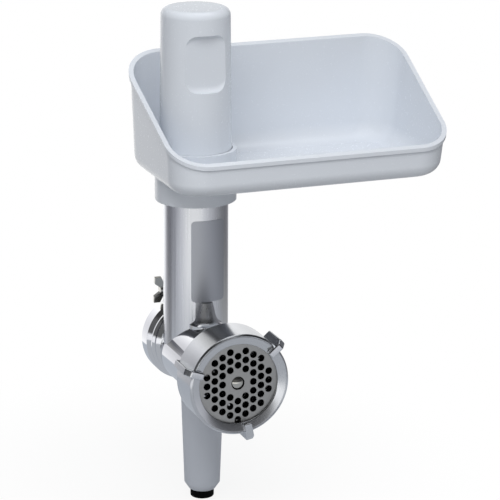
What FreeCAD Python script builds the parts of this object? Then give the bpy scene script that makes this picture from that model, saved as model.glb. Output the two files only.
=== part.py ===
import FreeCAD, Part
import math
import os
import re
import Sketcher

# Meat grinder attachment: a cast aluminium housing with a feed tube, a worm, knife and perforated
# plate behind a ring nut, a loose tray and pusher above, and a screwed-on leg below.
# Origin: centre of the drive bore on the collar's rear face. +Y to the rear, +Z up, millimetres.

SIZES = {
    # drive collar that clamps on the kitchen machine
    "drive_bore_radius": 20.0,
    "drive_bore_depth": 13.0,
    "collar_length": 22.0,
    "collar_flange_radius": 28.2,
    "collar_flange_width": 10.6,
    "collar_radius": 26.4,
    "collar_step": 1.0,
    "collar_bead_width": 1.4,
    "collar_bead_setback": 16.0,
    "collar_edge": 0.9,
    "dowel_radius": 1.5,
    "dowel_sink": 1.9,
    # barrel of the housing
    "barrel_radius": 21.4,
    "barrel_bore_radius": 19.3,
    "web_thickness": 8.0,
    "housing_length": 107.0,
    "head_radius": 30.4,
    "head_length": 21.5,
    "flare_length": 6.0,
    "chamber_radius": 28.2,
    "chamber_depth": 11.5,
    # feed tube
    "feed_setback": 28.2,
    "tube_radius": 21.2,
    "tube_wall": 2.9,
    "mouth_height": 124.0,
    "mouth_radius": 23.5,
    "mouth_depth": 12.0,
    "rib_gap": 0.5,
    "rib_top_radius": 4.8,
    "rib_foot_radius": 8.0,
    "rib_sink": 2.6,
    "ramp_wall": 3.0,
    "ramp_angle": 45.0,
    # bare foil on the front of the tube
    "label_base": 36.5,
    "label_height": 54.5,
    "label_angle": 66.0,
    "label_turn_angle": 5.5,
    "foil_thickness": 0.25,
    # leg with its stud and rubber foot
    "leg_setback": 40.8,
    "boss_radius": 13.0,
    "boss_drop": 29.0,
    "stud_radius": 4.0,
    "stud_grip": 7.5,
    "stud_root": 16.0,
    "leg_length": 65.7,
    "leg_top_radius": 13.95,
    "leg_end_radius": 11.8,
    "leg_end_bevel": 3.2,
    "leg_bevel_height": 4.8,
    "leg_bore_depth": 40.0,
    "foot_radius": 7.8,
    "foot_drop": 5.6,
    "foot_plug": 12.0,
    "foot_round": 1.2,
    # worm and what turns with it
    "journal_radius": 7.95,
    "bush_wall": 2.0,
    "seal_width": 3.0,
    "seal_wall": 4.0,
    "washer_radius": 15.0,
    "washer_thickness": 1.5,
    "worm_core_radius": 8.5,
    "flight_radius": 18.8,
    "flight_pitch": 24.0,
    "flight_root": 7.0,
    "flight_tip": 3.0,
    "flight_margin": 5.5,
    "flight_sink": 1.0,
    "insert_radius": 5.5,
    "insert_length": 20.0,
    "hex_flats": 7.0,
    "hex_depth": 12.0,
    "cross_pin_radius": 1.25,
    "cross_pin_inset": 0.5,
    "cross_pin_setback": 4.0,
    "front_stud_radius": 5.0,
    "front_stud_root": 16.0,
    "square_side": 9.0,
    "pilot_radius": 4.3,
    "pilot_stand": 0.9,
    "pilot_round": 2.4,
    "knife_radius": 25.0,
    "knife_hub_radius": 9.0,
    "knife_thickness": 6.0,
    "blade_root": 9.0,
    "blade_tip": 6.0,
    "blade_sweep": 3.0,
    "blade_count": 4.0,
    # perforated plate and its key
    "plate_radius": 27.9,
    "plate_thickness": 5.0,
    "plate_stand": 0.8,
    "plate_bore_radius": 4.37,
    "hole_radius": 2.25,
    "hole_pitch": 6.0,
    "field_inner": 8.0,
    "field_outer": 22.5,
    "key_radius": 1.5,
    "key_setback": 3.0,
    "key_reach": 3.2,
    "key_clearance": 0.7,
    # ring nut
    "ring_wall": 2.55,
    "ring_length": 25.6,
    "lip_overlap": 1.55,
    "lip_thickness": 3.0,
    "ring_edge": 1.0,
    "lug_angle": 41.0,
    "lug_count": 3.0,
    "lug_rise": 5.6,
    "lug_width": 5.2,
    "lug_length": 20.5,
    "lug_stand": 2.6,
    "lug_slope": 1.2,
    # pinch lugs on the collar, with their wing screw
    "pinch_width": 20.0,
    "pinch_depth": 6.6,
    "pinch_root": 23.0,
    "pinch_top": 38.0,
    "pinch_slit": 1.6,
    "wing_screw_height": 33.4,
    "wing_screw_angle": 180.0,
    "wing_screw_twist_angle": -9.0,
    "wing_screw_radius": 2.0,
    "wing_screw_inset": 1.0,
    "wing_neck": 2.6,
    "wing_hub_radius": 3.6,
    "wing_hub_height": 4.0,
    "wing_span": 18.2,
    "wing_rise": 3.4,
    "wing_tip_height": 4.4,
    "wing_thickness": 2.4,
    # tray
    "tray_drop": 8.5,
    "tray_left": 31.0,
    "tray_right": 154.6,
    "tray_front": 84.8,
    "tray_back": 26.1,
    "tray_rise": 90.0,
    "tray_flare_angle": 1.8,
    "tray_right_flare_angle": 6.5,
    "tray_wall": 2.6,
    "tray_inner_round": 12.0,
    "tray_outer_round": 9.0,
    "corner_front_left": 22.0,
    "corner_back_left": 28.0,
    "corner_back_right": 24.0,
    "corner_front_right": 22.0,
    "rim_rise": 21.5,
    "rim_slope_angle": 23.9,
    "rim_overhang": 1.3,
    "rim_depth": 3.4,
    "socket_depth": 22.8,
    "socket_radius": 26.5,
    "socket_wall": 2.7,
    "ledge_thickness": 2.4,
    "socket_stand": 11.0,
    # pusher
    "pusher_height": 103.0,
    "pusher_top_radius": 22.4,
    "pusher_base_radius": 23.4,
    "pusher_round": 5.0,
    "stem_radius": 17.7,
    "stem_wall": 2.5,
    "stem_clearance": 1.0,
    "stem_hollow_rise": 41.0,
    "plug_thickness": 3.0,
    "grip_drop": 14.7,
    "grip_height": 37.0,
    "grip_width": 28.0,
    "grip_flat": 18.2,
    "grip_round": 8.0,
    # clearances
    "running_gap": 0.05,
    "press_gap": 0.02,
    "seat_gap": 0.3,
    "thread_gap": 0.3,
    "slide_gap": 0.3,
    "overcut": 1.0,
}

PLANES = {"side": "YZ_Plane", "front": "XZ_Plane", "plan": "XY_Plane"}
SMALL = 1e-4
STARTING_RADIUS = 10.0
QUARTER_TURN = 90
FULL_TURN = 360
HEX_SIDES = 6
HEX_HALF_ANGLE = 30

V = FreeCAD.Vector
doc = FreeCAD.newDocument("meat_grinder")
sheet = doc.addObject("Spreadsheet::Sheet", "Sizes")
for row, (name, value) in enumerate(SIZES.items(), 1):
    sheet.set(f"A{row}", name.replace("_", " "))
    sheet.set(f"B{row}", str(value))
    sheet.setAlias(f"B{row}", name)
doc.recompute()


def size(name):
    """Value of one named size, read back from the sheet."""
    return float(sheet.get(name))


def cells(formula):
    """A formula in plain size names, as an expression on the sheet."""
    return re.sub(r"[a-z][a-z_]*", lambda word: f"Sizes.{word[0]}" if word[0] in SIZES else word[0], formula)


def bind(item, **formulas):
    """Tie properties of an object to formulas; x, y and z stand for its place."""
    for prop, formula in formulas.items():
        path = f"Placement.Base.{prop}" if prop in ("x", "y", "z") else prop
        item.setExpression(path, cells(formula))
    return item


def tie(sketch, kind, geometry, point, start, formula):
    """One driving dimension of a sketch, measured from the sketch's origin."""
    index = sketch.addConstraint(Sketcher.Constraint(kind, -1, 1, geometry, point, start))
    name = f"{kind}_{geometry}"
    sketch.renameConstraint(index, name)
    sketch.setExpression(f"Constraints.{name}", cells(formula))


def new_sketch(body, name, plane):
    """An empty sketch on one of the body's own origin planes."""
    sketch = body.newObject("Sketcher::SketchObject", name)
    support = next(face for face in body.Origin.OriginFeatures if face.Role == PLANES[plane])
    sketch.AttachmentSupport = [(support, "")]
    sketch.MapMode = "FlatFace"
    return sketch


def outline(body, name, plane, corners):
    """A closed outline of straight edges, with a pair of formulas for each corner."""
    sketch = new_sketch(body, name, plane)
    count = len(corners)
    turns = [2 * math.pi * index / count for index in range(count)]
    starts = [V(STARTING_RADIUS * math.cos(turn), STARTING_RADIUS * math.sin(turn), 0) for turn in turns]
    for index in range(count):
        sketch.addGeometry(Part.LineSegment(starts[index], starts[(index + 1) % count]), False)
    for index in range(count):
        sketch.addConstraint(Sketcher.Constraint("Coincident", index, 2, (index + 1) % count, 1))
    for index, (across, up) in enumerate(corners):
        tie(sketch, "DistanceX", index, 1, starts[index].x, across)
        tie(sketch, "DistanceY", index, 1, starts[index].y, up)
    return sketch


def add_circle(sketch, across, up, radius):
    """A circle in a sketch, with formulas for its centre and radius."""
    circle = Part.Circle(V(sketch.GeometryCount, 0, 0), V(0, 0, 1), STARTING_RADIUS)
    index = sketch.addGeometry(circle, False)
    tie(sketch, "DistanceX", index, 3, float(index), across)
    tie(sketch, "DistanceY", index, 3, 0.0, up)
    constraint = sketch.addConstraint(Sketcher.Constraint("Radius", index, STARTING_RADIUS))
    sketch.renameConstraint(constraint, f"Radius_{index}")
    sketch.setExpression(f"Constraints.Radius_{index}", cells(radius))


def turned(label, axis, corners):
    """A body turned about the Y axis or the Z axis; corners are (along, radius) formulas."""
    body = doc.addObject("PartDesign::Body", label)
    if axis == "Y":
        sketch = outline(body, f"{label}_profile", "side", corners)
    else:
        sketch = outline(body, f"{label}_profile", "front", [(radius, along) for along, radius in corners])
    turn = body.newObject("PartDesign::Revolution", f"{label}_turn")
    turn.Profile = sketch
    turn.ReferenceAxis = (sketch, ["H_Axis" if axis == "Y" else "V_Axis"])
    turn.Angle = FULL_TURN
    doc.recompute()
    return body


def padded(body, name, sketch, length, both_ways=False):
    """A pad of a sketch, to one side or evenly to both."""
    pad = body.newObject("PartDesign::Pad", name)
    pad.Profile = sketch
    pad.SideType = "Symmetric" if both_ways else "One side"
    bind(pad, Length=length)
    doc.recompute()
    return pad


def repeated(body, name, feature, sketch, count):
    """A feature repeated evenly about the sketch's normal or one of its axes."""
    pattern = body.newObject("PartDesign::PolarPattern", name)
    pattern.Originals = [feature]
    pattern.Axis = sketch
    pattern.Angle = FULL_TURN
    bind(pattern, Occurrences=count)
    body.Tip = pattern
    doc.recompute()
    return pattern


def rod(label, radius, length, along="Z", **place):
    """A cylinder along +X, +Y or +Z from its place."""
    item = doc.addObject("Part::Cylinder", label)
    turns = {
        "X": FreeCAD.Rotation(V(0, 1, 0), QUARTER_TURN),
        "Y": FreeCAD.Rotation(V(1, 0, 0), -QUARTER_TURN),
    }
    item.Placement = FreeCAD.Placement(V(), turns.get(along, FreeCAD.Rotation()))
    return bind(item, Radius=radius, Height=length, **place)


def block(label, long, wide, high, **place):
    """A box from its lowest corner."""
    return bind(doc.addObject("Part::Box", label), Length=long, Width=wide, Height=high, **place)


def joined(label, *pieces):
    """Several solids as one."""
    item = doc.addObject("Part::MultiFuse", label)
    item.Shapes = list(pieces)
    item.Refine = True
    doc.recompute()
    return item


def cut(label, base, *tools):
    """A solid with one or more others taken out of it."""
    item = doc.addObject("Part::Cut", label)
    item.Base = base
    item.Tool = tools[0] if len(tools) == 1 else joined(f"{label}_tools", *tools)
    item.Refine = True
    doc.recompute()
    return item


def shared(label, one, other):
    """What two solids have in common."""
    item = doc.addObject("Part::Common", label)
    item.Base = one
    item.Tool = other
    doc.recompute()
    return item


def edge_names(feature, wanted):
    """Names of the edges of a feature that pass a test."""
    return [f"Edge{index}" for index, edge in enumerate(feature.Shape.Edges, 1) if wanted(edge)]


def is_ring(edge, radius):
    """Whether an edge is a circle of the given radius."""
    return isinstance(edge.Curve, Part.Circle) and abs(edge.Curve.Radius - radius) < SMALL


def rounded(body, name, edges, radius):
    """A fillet on the body's latest feature."""
    base = body.Tip
    fillet = body.newObject("PartDesign::Fillet", name)
    fillet.Base = (base, edges)
    bind(fillet, Radius=radius)
    doc.recompute()
    return fillet


def radial(angle_name, twist_name=None):
    """Turn that carries +Z to a direction in the XZ plane, measured from +X towards +Z."""
    lean = FreeCAD.Rotation(V(0, -1, 0), size(angle_name) - QUARTER_TURN)
    twist = FreeCAD.Rotation(V(0, 0, 1), size(twist_name) if twist_name else 0)
    return lean.multiply(twist)


# Drive collar: a turned ring with a rear flange, a bead and a shoulder that seats on the barrel.
WEB_REAR = "-drive_bore_depth"
WEB_FRONT = "-(drive_bore_depth + web_thickness)"
HOUSING_FRONT = "-housing_length"
PLATE_FRONT = "-(housing_length + plate_stand)"
PLATE_REAR = "-(housing_length + plate_stand - plate_thickness)"
KNIFE_FRONT = "-(housing_length + plate_stand - plate_thickness - seat_gap)"
KNIFE_REAR = "-(housing_length + plate_stand - plate_thickness - seat_gap - knife_thickness)"
WORM_FRONT = KNIFE_REAR
WORM_REAR = "-(drive_bore_depth + web_thickness + seat_gap + washer_thickness)"
JOURNAL_REAR = "-(drive_bore_depth + seat_gap)"
SEAL_REAR = "-(drive_bore_depth + web_thickness - seal_width)"
SHAFT_BORE = "journal_radius + running_gap"
FEED_Y = "-feed_setback"
LEG_Y = "-leg_setback"

collar_turned = turned("collar_turned", "Y", [
    ("0", "drive_bore_radius"),
    ("0", "collar_flange_radius - collar_edge"),
    ("-collar_edge", "collar_flange_radius"),
    ("-collar_flange_width", "collar_flange_radius"),
    ("-collar_flange_width", "collar_radius"),
    ("-collar_bead_setback", "collar_radius"),
    ("-collar_bead_setback", "collar_radius + collar_step / 2"),
    ("-(collar_bead_setback + collar_bead_width)", "collar_radius + collar_step / 2"),
    ("-(collar_bead_setback + collar_bead_width)", "collar_radius - collar_step"),
    ("-collar_length", "collar_radius - collar_step"),
    ("-collar_length", "barrel_radius + press_gap"),
    (WEB_REAR, "barrel_radius + press_gap"),
    (WEB_REAR, "drive_bore_radius"),
])
DOWEL_Y = "-(drive_bore_depth + collar_length) / 2"
dowel_hole = rod("dowel_hole", "dowel_radius + press_gap",
                 "collar_flange_radius - barrel_radius + dowel_sink",
                 y=DOWEL_Y, z="-collar_flange_radius")
# Pinch lugs stand on the collar behind the feed tube; a slit between them lets the bore close.
pinch_lugs = block("pinch_lugs", "pinch_width", "pinch_depth", "pinch_top - pinch_root",
                   x="-pinch_width / 2", y="-pinch_depth", z="pinch_root")
pinch_slit = block("pinch_slit", "pinch_slit", "drive_bore_depth + overcut",
                   "pinch_top + overcut - drive_bore_radius / 2", x="-pinch_slit / 2", y=WEB_REAR,
                   z="drive_bore_radius / 2")
SCREW_Y = "-pinch_depth / 2"
screw_hole = rod("screw_hole", "wing_screw_radius + running_gap", "pinch_width + 2 * overcut", along="X",
                 x="-(pinch_width / 2 + overcut)", y=SCREW_Y, z="wing_screw_height")
collar_solid = joined("collar_solid", collar_turned, pinch_lugs)
drive_collar = cut("drive_collar", collar_solid, dowel_hole, pinch_slit, screw_hole)

DOWEL_LENGTH = "collar_radius - collar_step - barrel_radius + dowel_sink - seat_gap"
collar_dowel = rod("collar_dowel", "dowel_radius", DOWEL_LENGTH, y=DOWEL_Y,
                   z="-(collar_radius - collar_step - seat_gap)")

# Wing screw: shank, neck and hub turned about its own axis, with two ears on the hub.
SCREW_TIP = "-(pinch_width / 2 - wing_screw_inset)"
HUB_BASE = "pinch_width / 2 + wing_neck"
HUB_TOP = "pinch_width / 2 + wing_neck + wing_hub_height"
wing_screw = turned("wing_screw", "Z", [
    (SCREW_TIP, "0"),
    (SCREW_TIP, "wing_screw_radius"),
    (HUB_BASE, "wing_screw_radius"),
    (HUB_BASE, "wing_hub_radius"),
    (HUB_TOP, "wing_hub_radius - collar_edge"),
    (HUB_TOP, "0"),
])
EAR_LOW = "pinch_width / 2 + wing_neck + wing_rise"
EAR_TOP = "pinch_width / 2 + wing_neck + wing_rise + wing_tip_height"
ears = outline(wing_screw, "ears", "front", [
    ("-wing_hub_radius / 2", HUB_BASE),
    ("wing_hub_radius / 2", HUB_BASE),
    ("wing_span / 2", EAR_LOW),
    ("wing_span / 2", EAR_TOP),
    ("wing_span / 2 - wing_tip_height", EAR_TOP),
    ("wing_hub_radius / 2", HUB_TOP),
    ("-wing_hub_radius / 2", HUB_TOP),
    ("-(wing_span / 2 - wing_tip_height)", EAR_TOP),
    ("-wing_span / 2", EAR_TOP),
    ("-wing_span / 2", EAR_LOW),
])
padded(wing_screw, "ears_pad", ears, "wing_thickness", both_ways=True)
wing_screw.Placement.Rotation = radial("wing_screw_angle", "wing_screw_twist_angle")
bind(wing_screw, y=SCREW_Y, z="wing_screw_height")

# Housing: barrel with a flared head, feed tube with a mouth ring, and the boss for the leg.
barrel_turned = turned("barrel_turned", "Y", [
    (WEB_REAR, "0"),
    (WEB_REAR, "barrel_radius"),
    ("-(housing_length - head_length - flare_length)", "barrel_radius"),
    ("-(housing_length - head_length)", "head_radius"),
    (HOUSING_FRONT, "head_radius"),
    (HOUSING_FRONT, "0"),
])
tube_solid = rod("tube_solid", "tube_radius", "mouth_height", y=FEED_Y)
mouth_ring = rod("mouth_ring", "mouth_radius", "mouth_depth", y=FEED_Y, z="mouth_height - mouth_depth")
foot_rib = bind(doc.addObject("Part::Cone", "foot_rib"),
                Radius1="rib_foot_radius", Radius2="rib_top_radius",
                Height="label_base - rib_gap - barrel_bore_radius",
                y="-(feed_setback + tube_radius - rib_sink)", z="barrel_bore_radius")
leg_boss = rod("leg_boss", "boss_radius", "boss_drop", y=LEG_Y, z="-boss_drop")
housing_solid = joined("housing_solid", barrel_turned, tube_solid, mouth_ring, foot_rib, leg_boss)
worm_space = turned("worm_space", "Y", [
    ("overcut - drive_bore_depth", "0"),
    ("overcut - drive_bore_depth", f"{SHAFT_BORE} + bush_wall"),
    (SEAL_REAR, f"{SHAFT_BORE} + bush_wall"),
    (SEAL_REAR, f"{SHAFT_BORE} + seal_wall"),
    (WEB_FRONT, f"{SHAFT_BORE} + seal_wall"),
    (WEB_FRONT, "barrel_bore_radius"),
    ("-(housing_length - chamber_depth)", "barrel_bore_radius"),
    ("-(housing_length - chamber_depth)", "chamber_radius"),
    ("-(housing_length + overcut)", "chamber_radius"),
    ("-(housing_length + overcut)", "0"),
])
collar_space = turned("collar_space", "Y", [
    ("overcut", "0"),
    ("overcut", "collar_flange_radius + seat_gap"),
    ("-(collar_length + seat_gap)", "collar_flange_radius + seat_gap"),
    ("-(collar_length + seat_gap)", "barrel_radius"),
    (WEB_REAR, "barrel_radius"),
    (WEB_REAR, "0"),
])
# The feed passage is a round bore whose rear half ends on a ramp above the drive collar.
ramp = doc.addObject("PartDesign::Body", "ramp")
RAMP_FOOT = "-(collar_length + seat_gap + ramp_wall)"
RAMP_LIP = "collar_flange_radius + seat_gap + ramp_wall"
ramp_profile = outline(ramp, "ramp_profile", "side", [
    (RAMP_FOOT, "-overcut"),
    (RAMP_FOOT, RAMP_LIP),
    ("overcut", f"{RAMP_LIP} + (collar_length + seat_gap + ramp_wall + overcut) * tan(ramp_angle)"),
    ("overcut", "-overcut"),
])
padded(ramp, "ramp_pad", ramp_profile, "2 * tube_radius", both_ways=True)
passage_bore = rod("passage_bore", "tube_radius - tube_wall", "mouth_height + overcut", y=FEED_Y)
feed_passage = cut("feed_passage", passage_bore, ramp)
stud_hole = rod("stud_hole", "stud_radius + running_gap", "stud_grip + seat_gap + overcut",
                y=LEG_Y, z="-(boss_drop + overcut)")
KEY_Y = "-(housing_length + plate_stand - key_setback)"
key_hole = rod("key_hole", "key_radius + press_gap", "head_radius + overcut - chamber_radius + key_reach",
               y=KEY_Y, z="-(head_radius + overcut)")
grinder_housing = cut("grinder_housing", housing_solid, worm_space, collar_space, feed_passage, stud_hole,
                      key_hole, dowel_hole)

# Key: a short radial pin in the head's wall that stops the plate from turning.
plate_key = rod("plate_key", "key_radius", "head_radius - seat_gap - chamber_radius + key_reach",
                y=KEY_Y, z="-(head_radius - seat_gap)")

# Bush and seal in the web, one behind the other.
rear_bush = turned("rear_bush", "Y", [
    (WEB_REAR, SHAFT_BORE),
    (WEB_REAR, f"{SHAFT_BORE} + bush_wall - press_gap"),
    (SEAL_REAR, f"{SHAFT_BORE} + bush_wall - press_gap"),
    (SEAL_REAR, SHAFT_BORE),
])
shaft_seal = turned("shaft_seal", "Y", [
    (SEAL_REAR, SHAFT_BORE),
    (SEAL_REAR, f"{SHAFT_BORE} + seal_wall - press_gap"),
    (WEB_FRONT, f"{SHAFT_BORE} + seal_wall - press_gap"),
    (WEB_FRONT, SHAFT_BORE),
])

# Bare foil, a sector of a thin ring on the front of the tube.
foil_outer = rod("foil_outer", "tube_radius + press_gap + foil_thickness", "label_height",
                 y=FEED_Y, z="label_base")
foil_inner = rod("foil_inner", "tube_radius + press_gap", "label_height", y=FEED_Y, z="label_base")
label_start = size("label_turn_angle") - QUARTER_TURN - size("label_angle") / 2
for sector in (foil_outer, foil_inner):
    bind(sector, Angle="label_angle")
    sector.Placement.Rotation = FreeCAD.Rotation(V(0, 0, 1), label_start)
label_plate = cut("label_plate", foil_outer, foil_inner)

# Worm: a core with a journal, one helical flight, and holes for the two steel inserts.
worm_core = turned("worm_core", "Y", [
    (JOURNAL_REAR, "0"),
    (JOURNAL_REAR, "journal_radius"),
    (WORM_REAR, "journal_radius"),
    (WORM_REAR, "worm_core_radius"),
    (WORM_FRONT, "worm_core_radius"),
    (WORM_FRONT, "0"),
])
helix = doc.addObject("Part::Helix", "flight_helix")
helix.Placement.Rotation = FreeCAD.Rotation(V(1, 0, 0), QUARTER_TURN)
FLIGHT_REAR = "drive_bore_depth + web_thickness + seat_gap + washer_thickness + flight_margin"
FLIGHT_LENGTH = ("housing_length + plate_stand - plate_thickness - seat_gap - knife_thickness"
                 f" - flight_margin - ({FLIGHT_REAR})")
bind(helix, Pitch="flight_pitch", Height=FLIGHT_LENGTH, Radius="worm_core_radius", y=f"-({FLIGHT_REAR})")
flight_body = doc.addObject("PartDesign::Body", "flight_body")
flight_profile = outline(flight_body, "flight_profile", "plan", [
    ("worm_core_radius - flight_sink", f"-({FLIGHT_REAR}) + flight_root / 2"),
    ("worm_core_radius - flight_sink", f"-({FLIGHT_REAR}) - flight_root / 2"),
    ("flight_radius", f"-({FLIGHT_REAR}) - flight_tip / 2"),
    ("flight_radius", f"-({FLIGHT_REAR}) + flight_tip / 2"),
])
flight = doc.addObject("Part::Sweep", "flight")
flight.Sections = [flight_profile]
flight.Spine = (helix, ["Edge1"])
flight.Solid = True
flight.Frenet = True
doc.recompute()
worm_solid = joined("worm_solid", worm_core, flight)
insert_hole = rod("insert_hole", "insert_radius + press_gap", "insert_length + overcut", along="Y",
                  y="-(drive_bore_depth + seat_gap + insert_length)")
CROSS_Y = "-(drive_bore_depth + seat_gap + insert_length - cross_pin_setback)"
cross_hole = rod("cross_hole", "cross_pin_radius + press_gap", "2 * flight_radius", along="X",
                 x="-flight_radius", y=CROSS_Y)
FRONT_ROOT = "front_stud_root + overcut"
front_hole = rod("front_hole", "front_stud_radius + press_gap", FRONT_ROOT, along="Y",
                 y=f"{WORM_FRONT} - overcut")
worm = cut("worm", worm_solid, insert_hole, cross_hole, front_hole)

# Drive socket: a steel insert with a hexagon hole for the machine's spindle.
socket_blank = rod("socket_blank", "insert_radius", "insert_length", along="Y",
                   y="-(drive_bore_depth + seat_gap + insert_length)")
hexagon = doc.addObject("Part::Prism", "hexagon")
hexagon.Polygon = HEX_SIDES
hexagon.Placement.Rotation = FreeCAD.Rotation(V(1, 0, 0), QUARTER_TURN)
bind(hexagon, Circumradius=f"hex_flats / (2 * cos({HEX_HALF_ANGLE}))", Height="hex_depth + overcut",
     y=f"{JOURNAL_REAR} + overcut")
drive_socket = cut("drive_socket", socket_blank, hexagon, cross_hole)
drive_pin = rod("drive_pin", "cross_pin_radius", "2 * (worm_core_radius - cross_pin_inset)", along="X",
                x="-(worm_core_radius - cross_pin_inset)", y=CROSS_Y)

thrust_washer = turned("thrust_washer", "Y", [
    (WORM_REAR, SHAFT_BORE),
    (WORM_REAR, "washer_radius"),
    (f"{WORM_REAR} + washer_thickness", "washer_radius"),
    (f"{WORM_REAR} + washer_thickness", SHAFT_BORE),
])

# Front stud: a root in the worm, a square for the knife, and a round pilot in the plate's bore.
stud_root_rod = rod("stud_root_rod", "front_stud_radius", "front_stud_root", along="Y", y=WORM_FRONT)
square = block("square", "square_side", "knife_thickness", "square_side",
               x="-square_side / 2", y=KNIFE_FRONT, z="-square_side / 2")
pilot = turned("pilot", "Y", [
    (KNIFE_FRONT, "0"),
    (KNIFE_FRONT, "pilot_radius"),
    (f"{PLATE_FRONT} - pilot_stand", "pilot_radius"),
    (f"{PLATE_FRONT} - pilot_stand", "0"),
])
PILOT_END = -(size("housing_length") + size("plate_stand") + size("pilot_stand"))
rounded(pilot, "pilot_end", edge_names(pilot.Tip, lambda edge: (
    is_ring(edge, size("pilot_radius")) and edge.BoundBox.YMin < PILOT_END + SMALL)), "pilot_round")
front_stud = joined("front_stud", stud_root_rod, square, pilot)

# Knife: a hub with swept blades and a square hole.
knife_blank = doc.addObject("PartDesign::Body", "knife_blank")
hub_circle = new_sketch(knife_blank, "hub_circle", "front")
add_circle(hub_circle, "0", "0", "knife_hub_radius")
padded(knife_blank, "hub_pad", hub_circle, "knife_thickness")
blade = outline(knife_blank, "blade", "front", [
    ("0", "-blade_root / 2"),
    ("knife_radius", "blade_sweep - blade_tip / 2"),
    ("knife_radius", "blade_sweep + blade_tip / 2"),
    ("0", "blade_root / 2"),
])
blade_pad = padded(knife_blank, "blade_pad", blade, "knife_thickness")
repeated(knife_blank, "blades", blade_pad, (blade, ["N_Axis"]), "blade_count")
bind(knife_blank, y=KNIFE_REAR)
knife_hole = block("knife_hole", "square_side + 2 * press_gap", "knife_thickness + 2 * overcut",
                   "square_side + 2 * press_gap", x="-(square_side / 2 + press_gap)",
                   y=f"{KNIFE_FRONT} - overcut", z="-(square_side / 2 + press_gap)")
knife = cut("knife", knife_blank, knife_hole)

# Perforated plate: holes on a triangular grid between two circles, and a key slot at the bottom.
perforated_blank = doc.addObject("PartDesign::Body", "perforated_blank")
plate_face = new_sketch(perforated_blank, "plate_face", "front")
add_circle(plate_face, "0", "0", "plate_radius")
add_circle(plate_face, "0", "0", "plate_bore_radius")
column_step = size("hole_pitch") * math.cos(math.radians(HEX_HALF_ANGLE))
reach = int(size("field_outer") / column_step)
for column in range(-reach, reach + 1):
    for row in range(-2 * reach, 2 * reach + 1):
        distance = math.hypot(column * column_step, row * size("hole_pitch") / 2)
        if (row + column) % 2 == 0 and size("field_inner") < distance < size("field_outer"):
            add_circle(plate_face, f"{column} * hole_pitch * cos({HEX_HALF_ANGLE})",
                       f"{row} * hole_pitch / 2", "hole_radius")
padded(perforated_blank, "plate_pad", plate_face, "plate_thickness")
bind(perforated_blank, y=PLATE_REAR)
SLOT_END = "chamber_radius - key_reach - key_clearance"
key_slot = block("key_slot", "2 * (key_radius + key_clearance)", "plate_thickness + 2 * overcut",
                 "key_reach + key_clearance + overcut", x="-(key_radius + key_clearance)",
                 y=f"{PLATE_FRONT} - overcut", z="-(chamber_radius + overcut)")
slot_round = rod("slot_round", "key_radius + key_clearance", "plate_thickness + 2 * overcut", along="Y",
                 y=f"{PLATE_FRONT} - overcut", z=f"-({SLOT_END})")
perforated_plate = cut("perforated_plate", perforated_blank, key_slot, slot_round)

# Ring nut: a turned cap with a lip over the plate and bent grip lugs on its rim.
RING_FRONT = "-(housing_length + plate_stand + seat_gap + lip_thickness)"
RING_RADIUS = "(head_radius + thread_gap + ring_wall)"
LIP_RADIUS = "(plate_radius - lip_overlap)"
ring_nut = turned("ring_nut", "Y", [
    (RING_FRONT, LIP_RADIUS),
    (RING_FRONT, f"{RING_RADIUS} - ring_edge"),
    (f"{RING_FRONT} + ring_edge", RING_RADIUS),
    (f"{RING_FRONT} + ring_length", RING_RADIUS),
    (f"{RING_FRONT} + ring_length", "head_radius + thread_gap"),
    (f"{PLATE_FRONT} - seat_gap", "head_radius + thread_gap"),
    (f"{PLATE_FRONT} - seat_gap", LIP_RADIUS),
])
LUG_INSIDE = "head_radius + thread_gap + ring_wall / 2"
lug = outline(ring_nut, "lug", "side", [
    (f"{RING_FRONT} + lug_length", LUG_INSIDE),
    (f"{RING_FRONT} + lug_length", f"{RING_RADIUS} + lug_rise"),
    (f"{RING_FRONT} - lug_stand + lug_slope", f"{RING_RADIUS} + lug_rise - lug_slope"),
    (f"{RING_FRONT} - lug_stand", f"{RING_RADIUS} + lug_rise - 2 * lug_slope"),
    (f"{RING_FRONT} - lug_stand", f"{LIP_RADIUS} + lug_slope"),
    (f"{RING_FRONT} - lug_stand + lug_slope", LIP_RADIUS),
    (f"{RING_FRONT} + lip_thickness / 2", LIP_RADIUS),
    (f"{RING_FRONT} + lip_thickness / 2", LUG_INSIDE),
])
lug_pad = padded(ring_nut, "lug_pad", lug, "lug_width", both_ways=True)
repeated(ring_nut, "lugs", lug_pad, (lug, ["H_Axis"]), "lug_count")
ring_nut.Placement.Rotation = radial("lug_angle")

# Leg: a tapered moulding on a threaded stud, with a rubber foot pushed into its lower end.
LEG_TOP = "-(boss_drop + seat_gap)"
LEG_END = "-(boss_drop + seat_gap + leg_length)"
leg_turned = turned("leg_turned", "Z", [
    (LEG_TOP, "0"),
    (LEG_TOP, "leg_top_radius"),
    (f"{LEG_END} + leg_bevel_height", "leg_end_radius"),
    (LEG_END, "leg_end_radius - leg_end_bevel"),
    (LEG_END, "foot_radius + press_gap"),
    (f"{LEG_END} + leg_bore_depth", "foot_radius + press_gap"),
    (f"{LEG_END} + leg_bore_depth", "0"),
])
bind(leg_turned, y=LEG_Y)
leg_hole = rod("leg_hole", "stud_radius + press_gap", "stud_root + overcut",
               y=LEG_Y, z=f"{LEG_TOP} - stud_root")
leg = cut("leg", leg_turned, leg_hole)
leg_stud = rod("leg_stud", "stud_radius", "stud_root + seat_gap + stud_grip",
               y=LEG_Y, z=f"{LEG_TOP} - stud_root")
leg_foot = turned("leg_foot", "Z", [
    (f"{LEG_END} - foot_drop", "0"),
    (f"{LEG_END} - foot_drop", "foot_radius"),
    (f"{LEG_END} + foot_plug", "foot_radius"),
    (f"{LEG_END} + foot_plug", "0"),
])
FOOT_LEVEL = -(size("boss_drop") + size("seat_gap") + size("leg_length") + size("foot_drop"))
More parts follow.
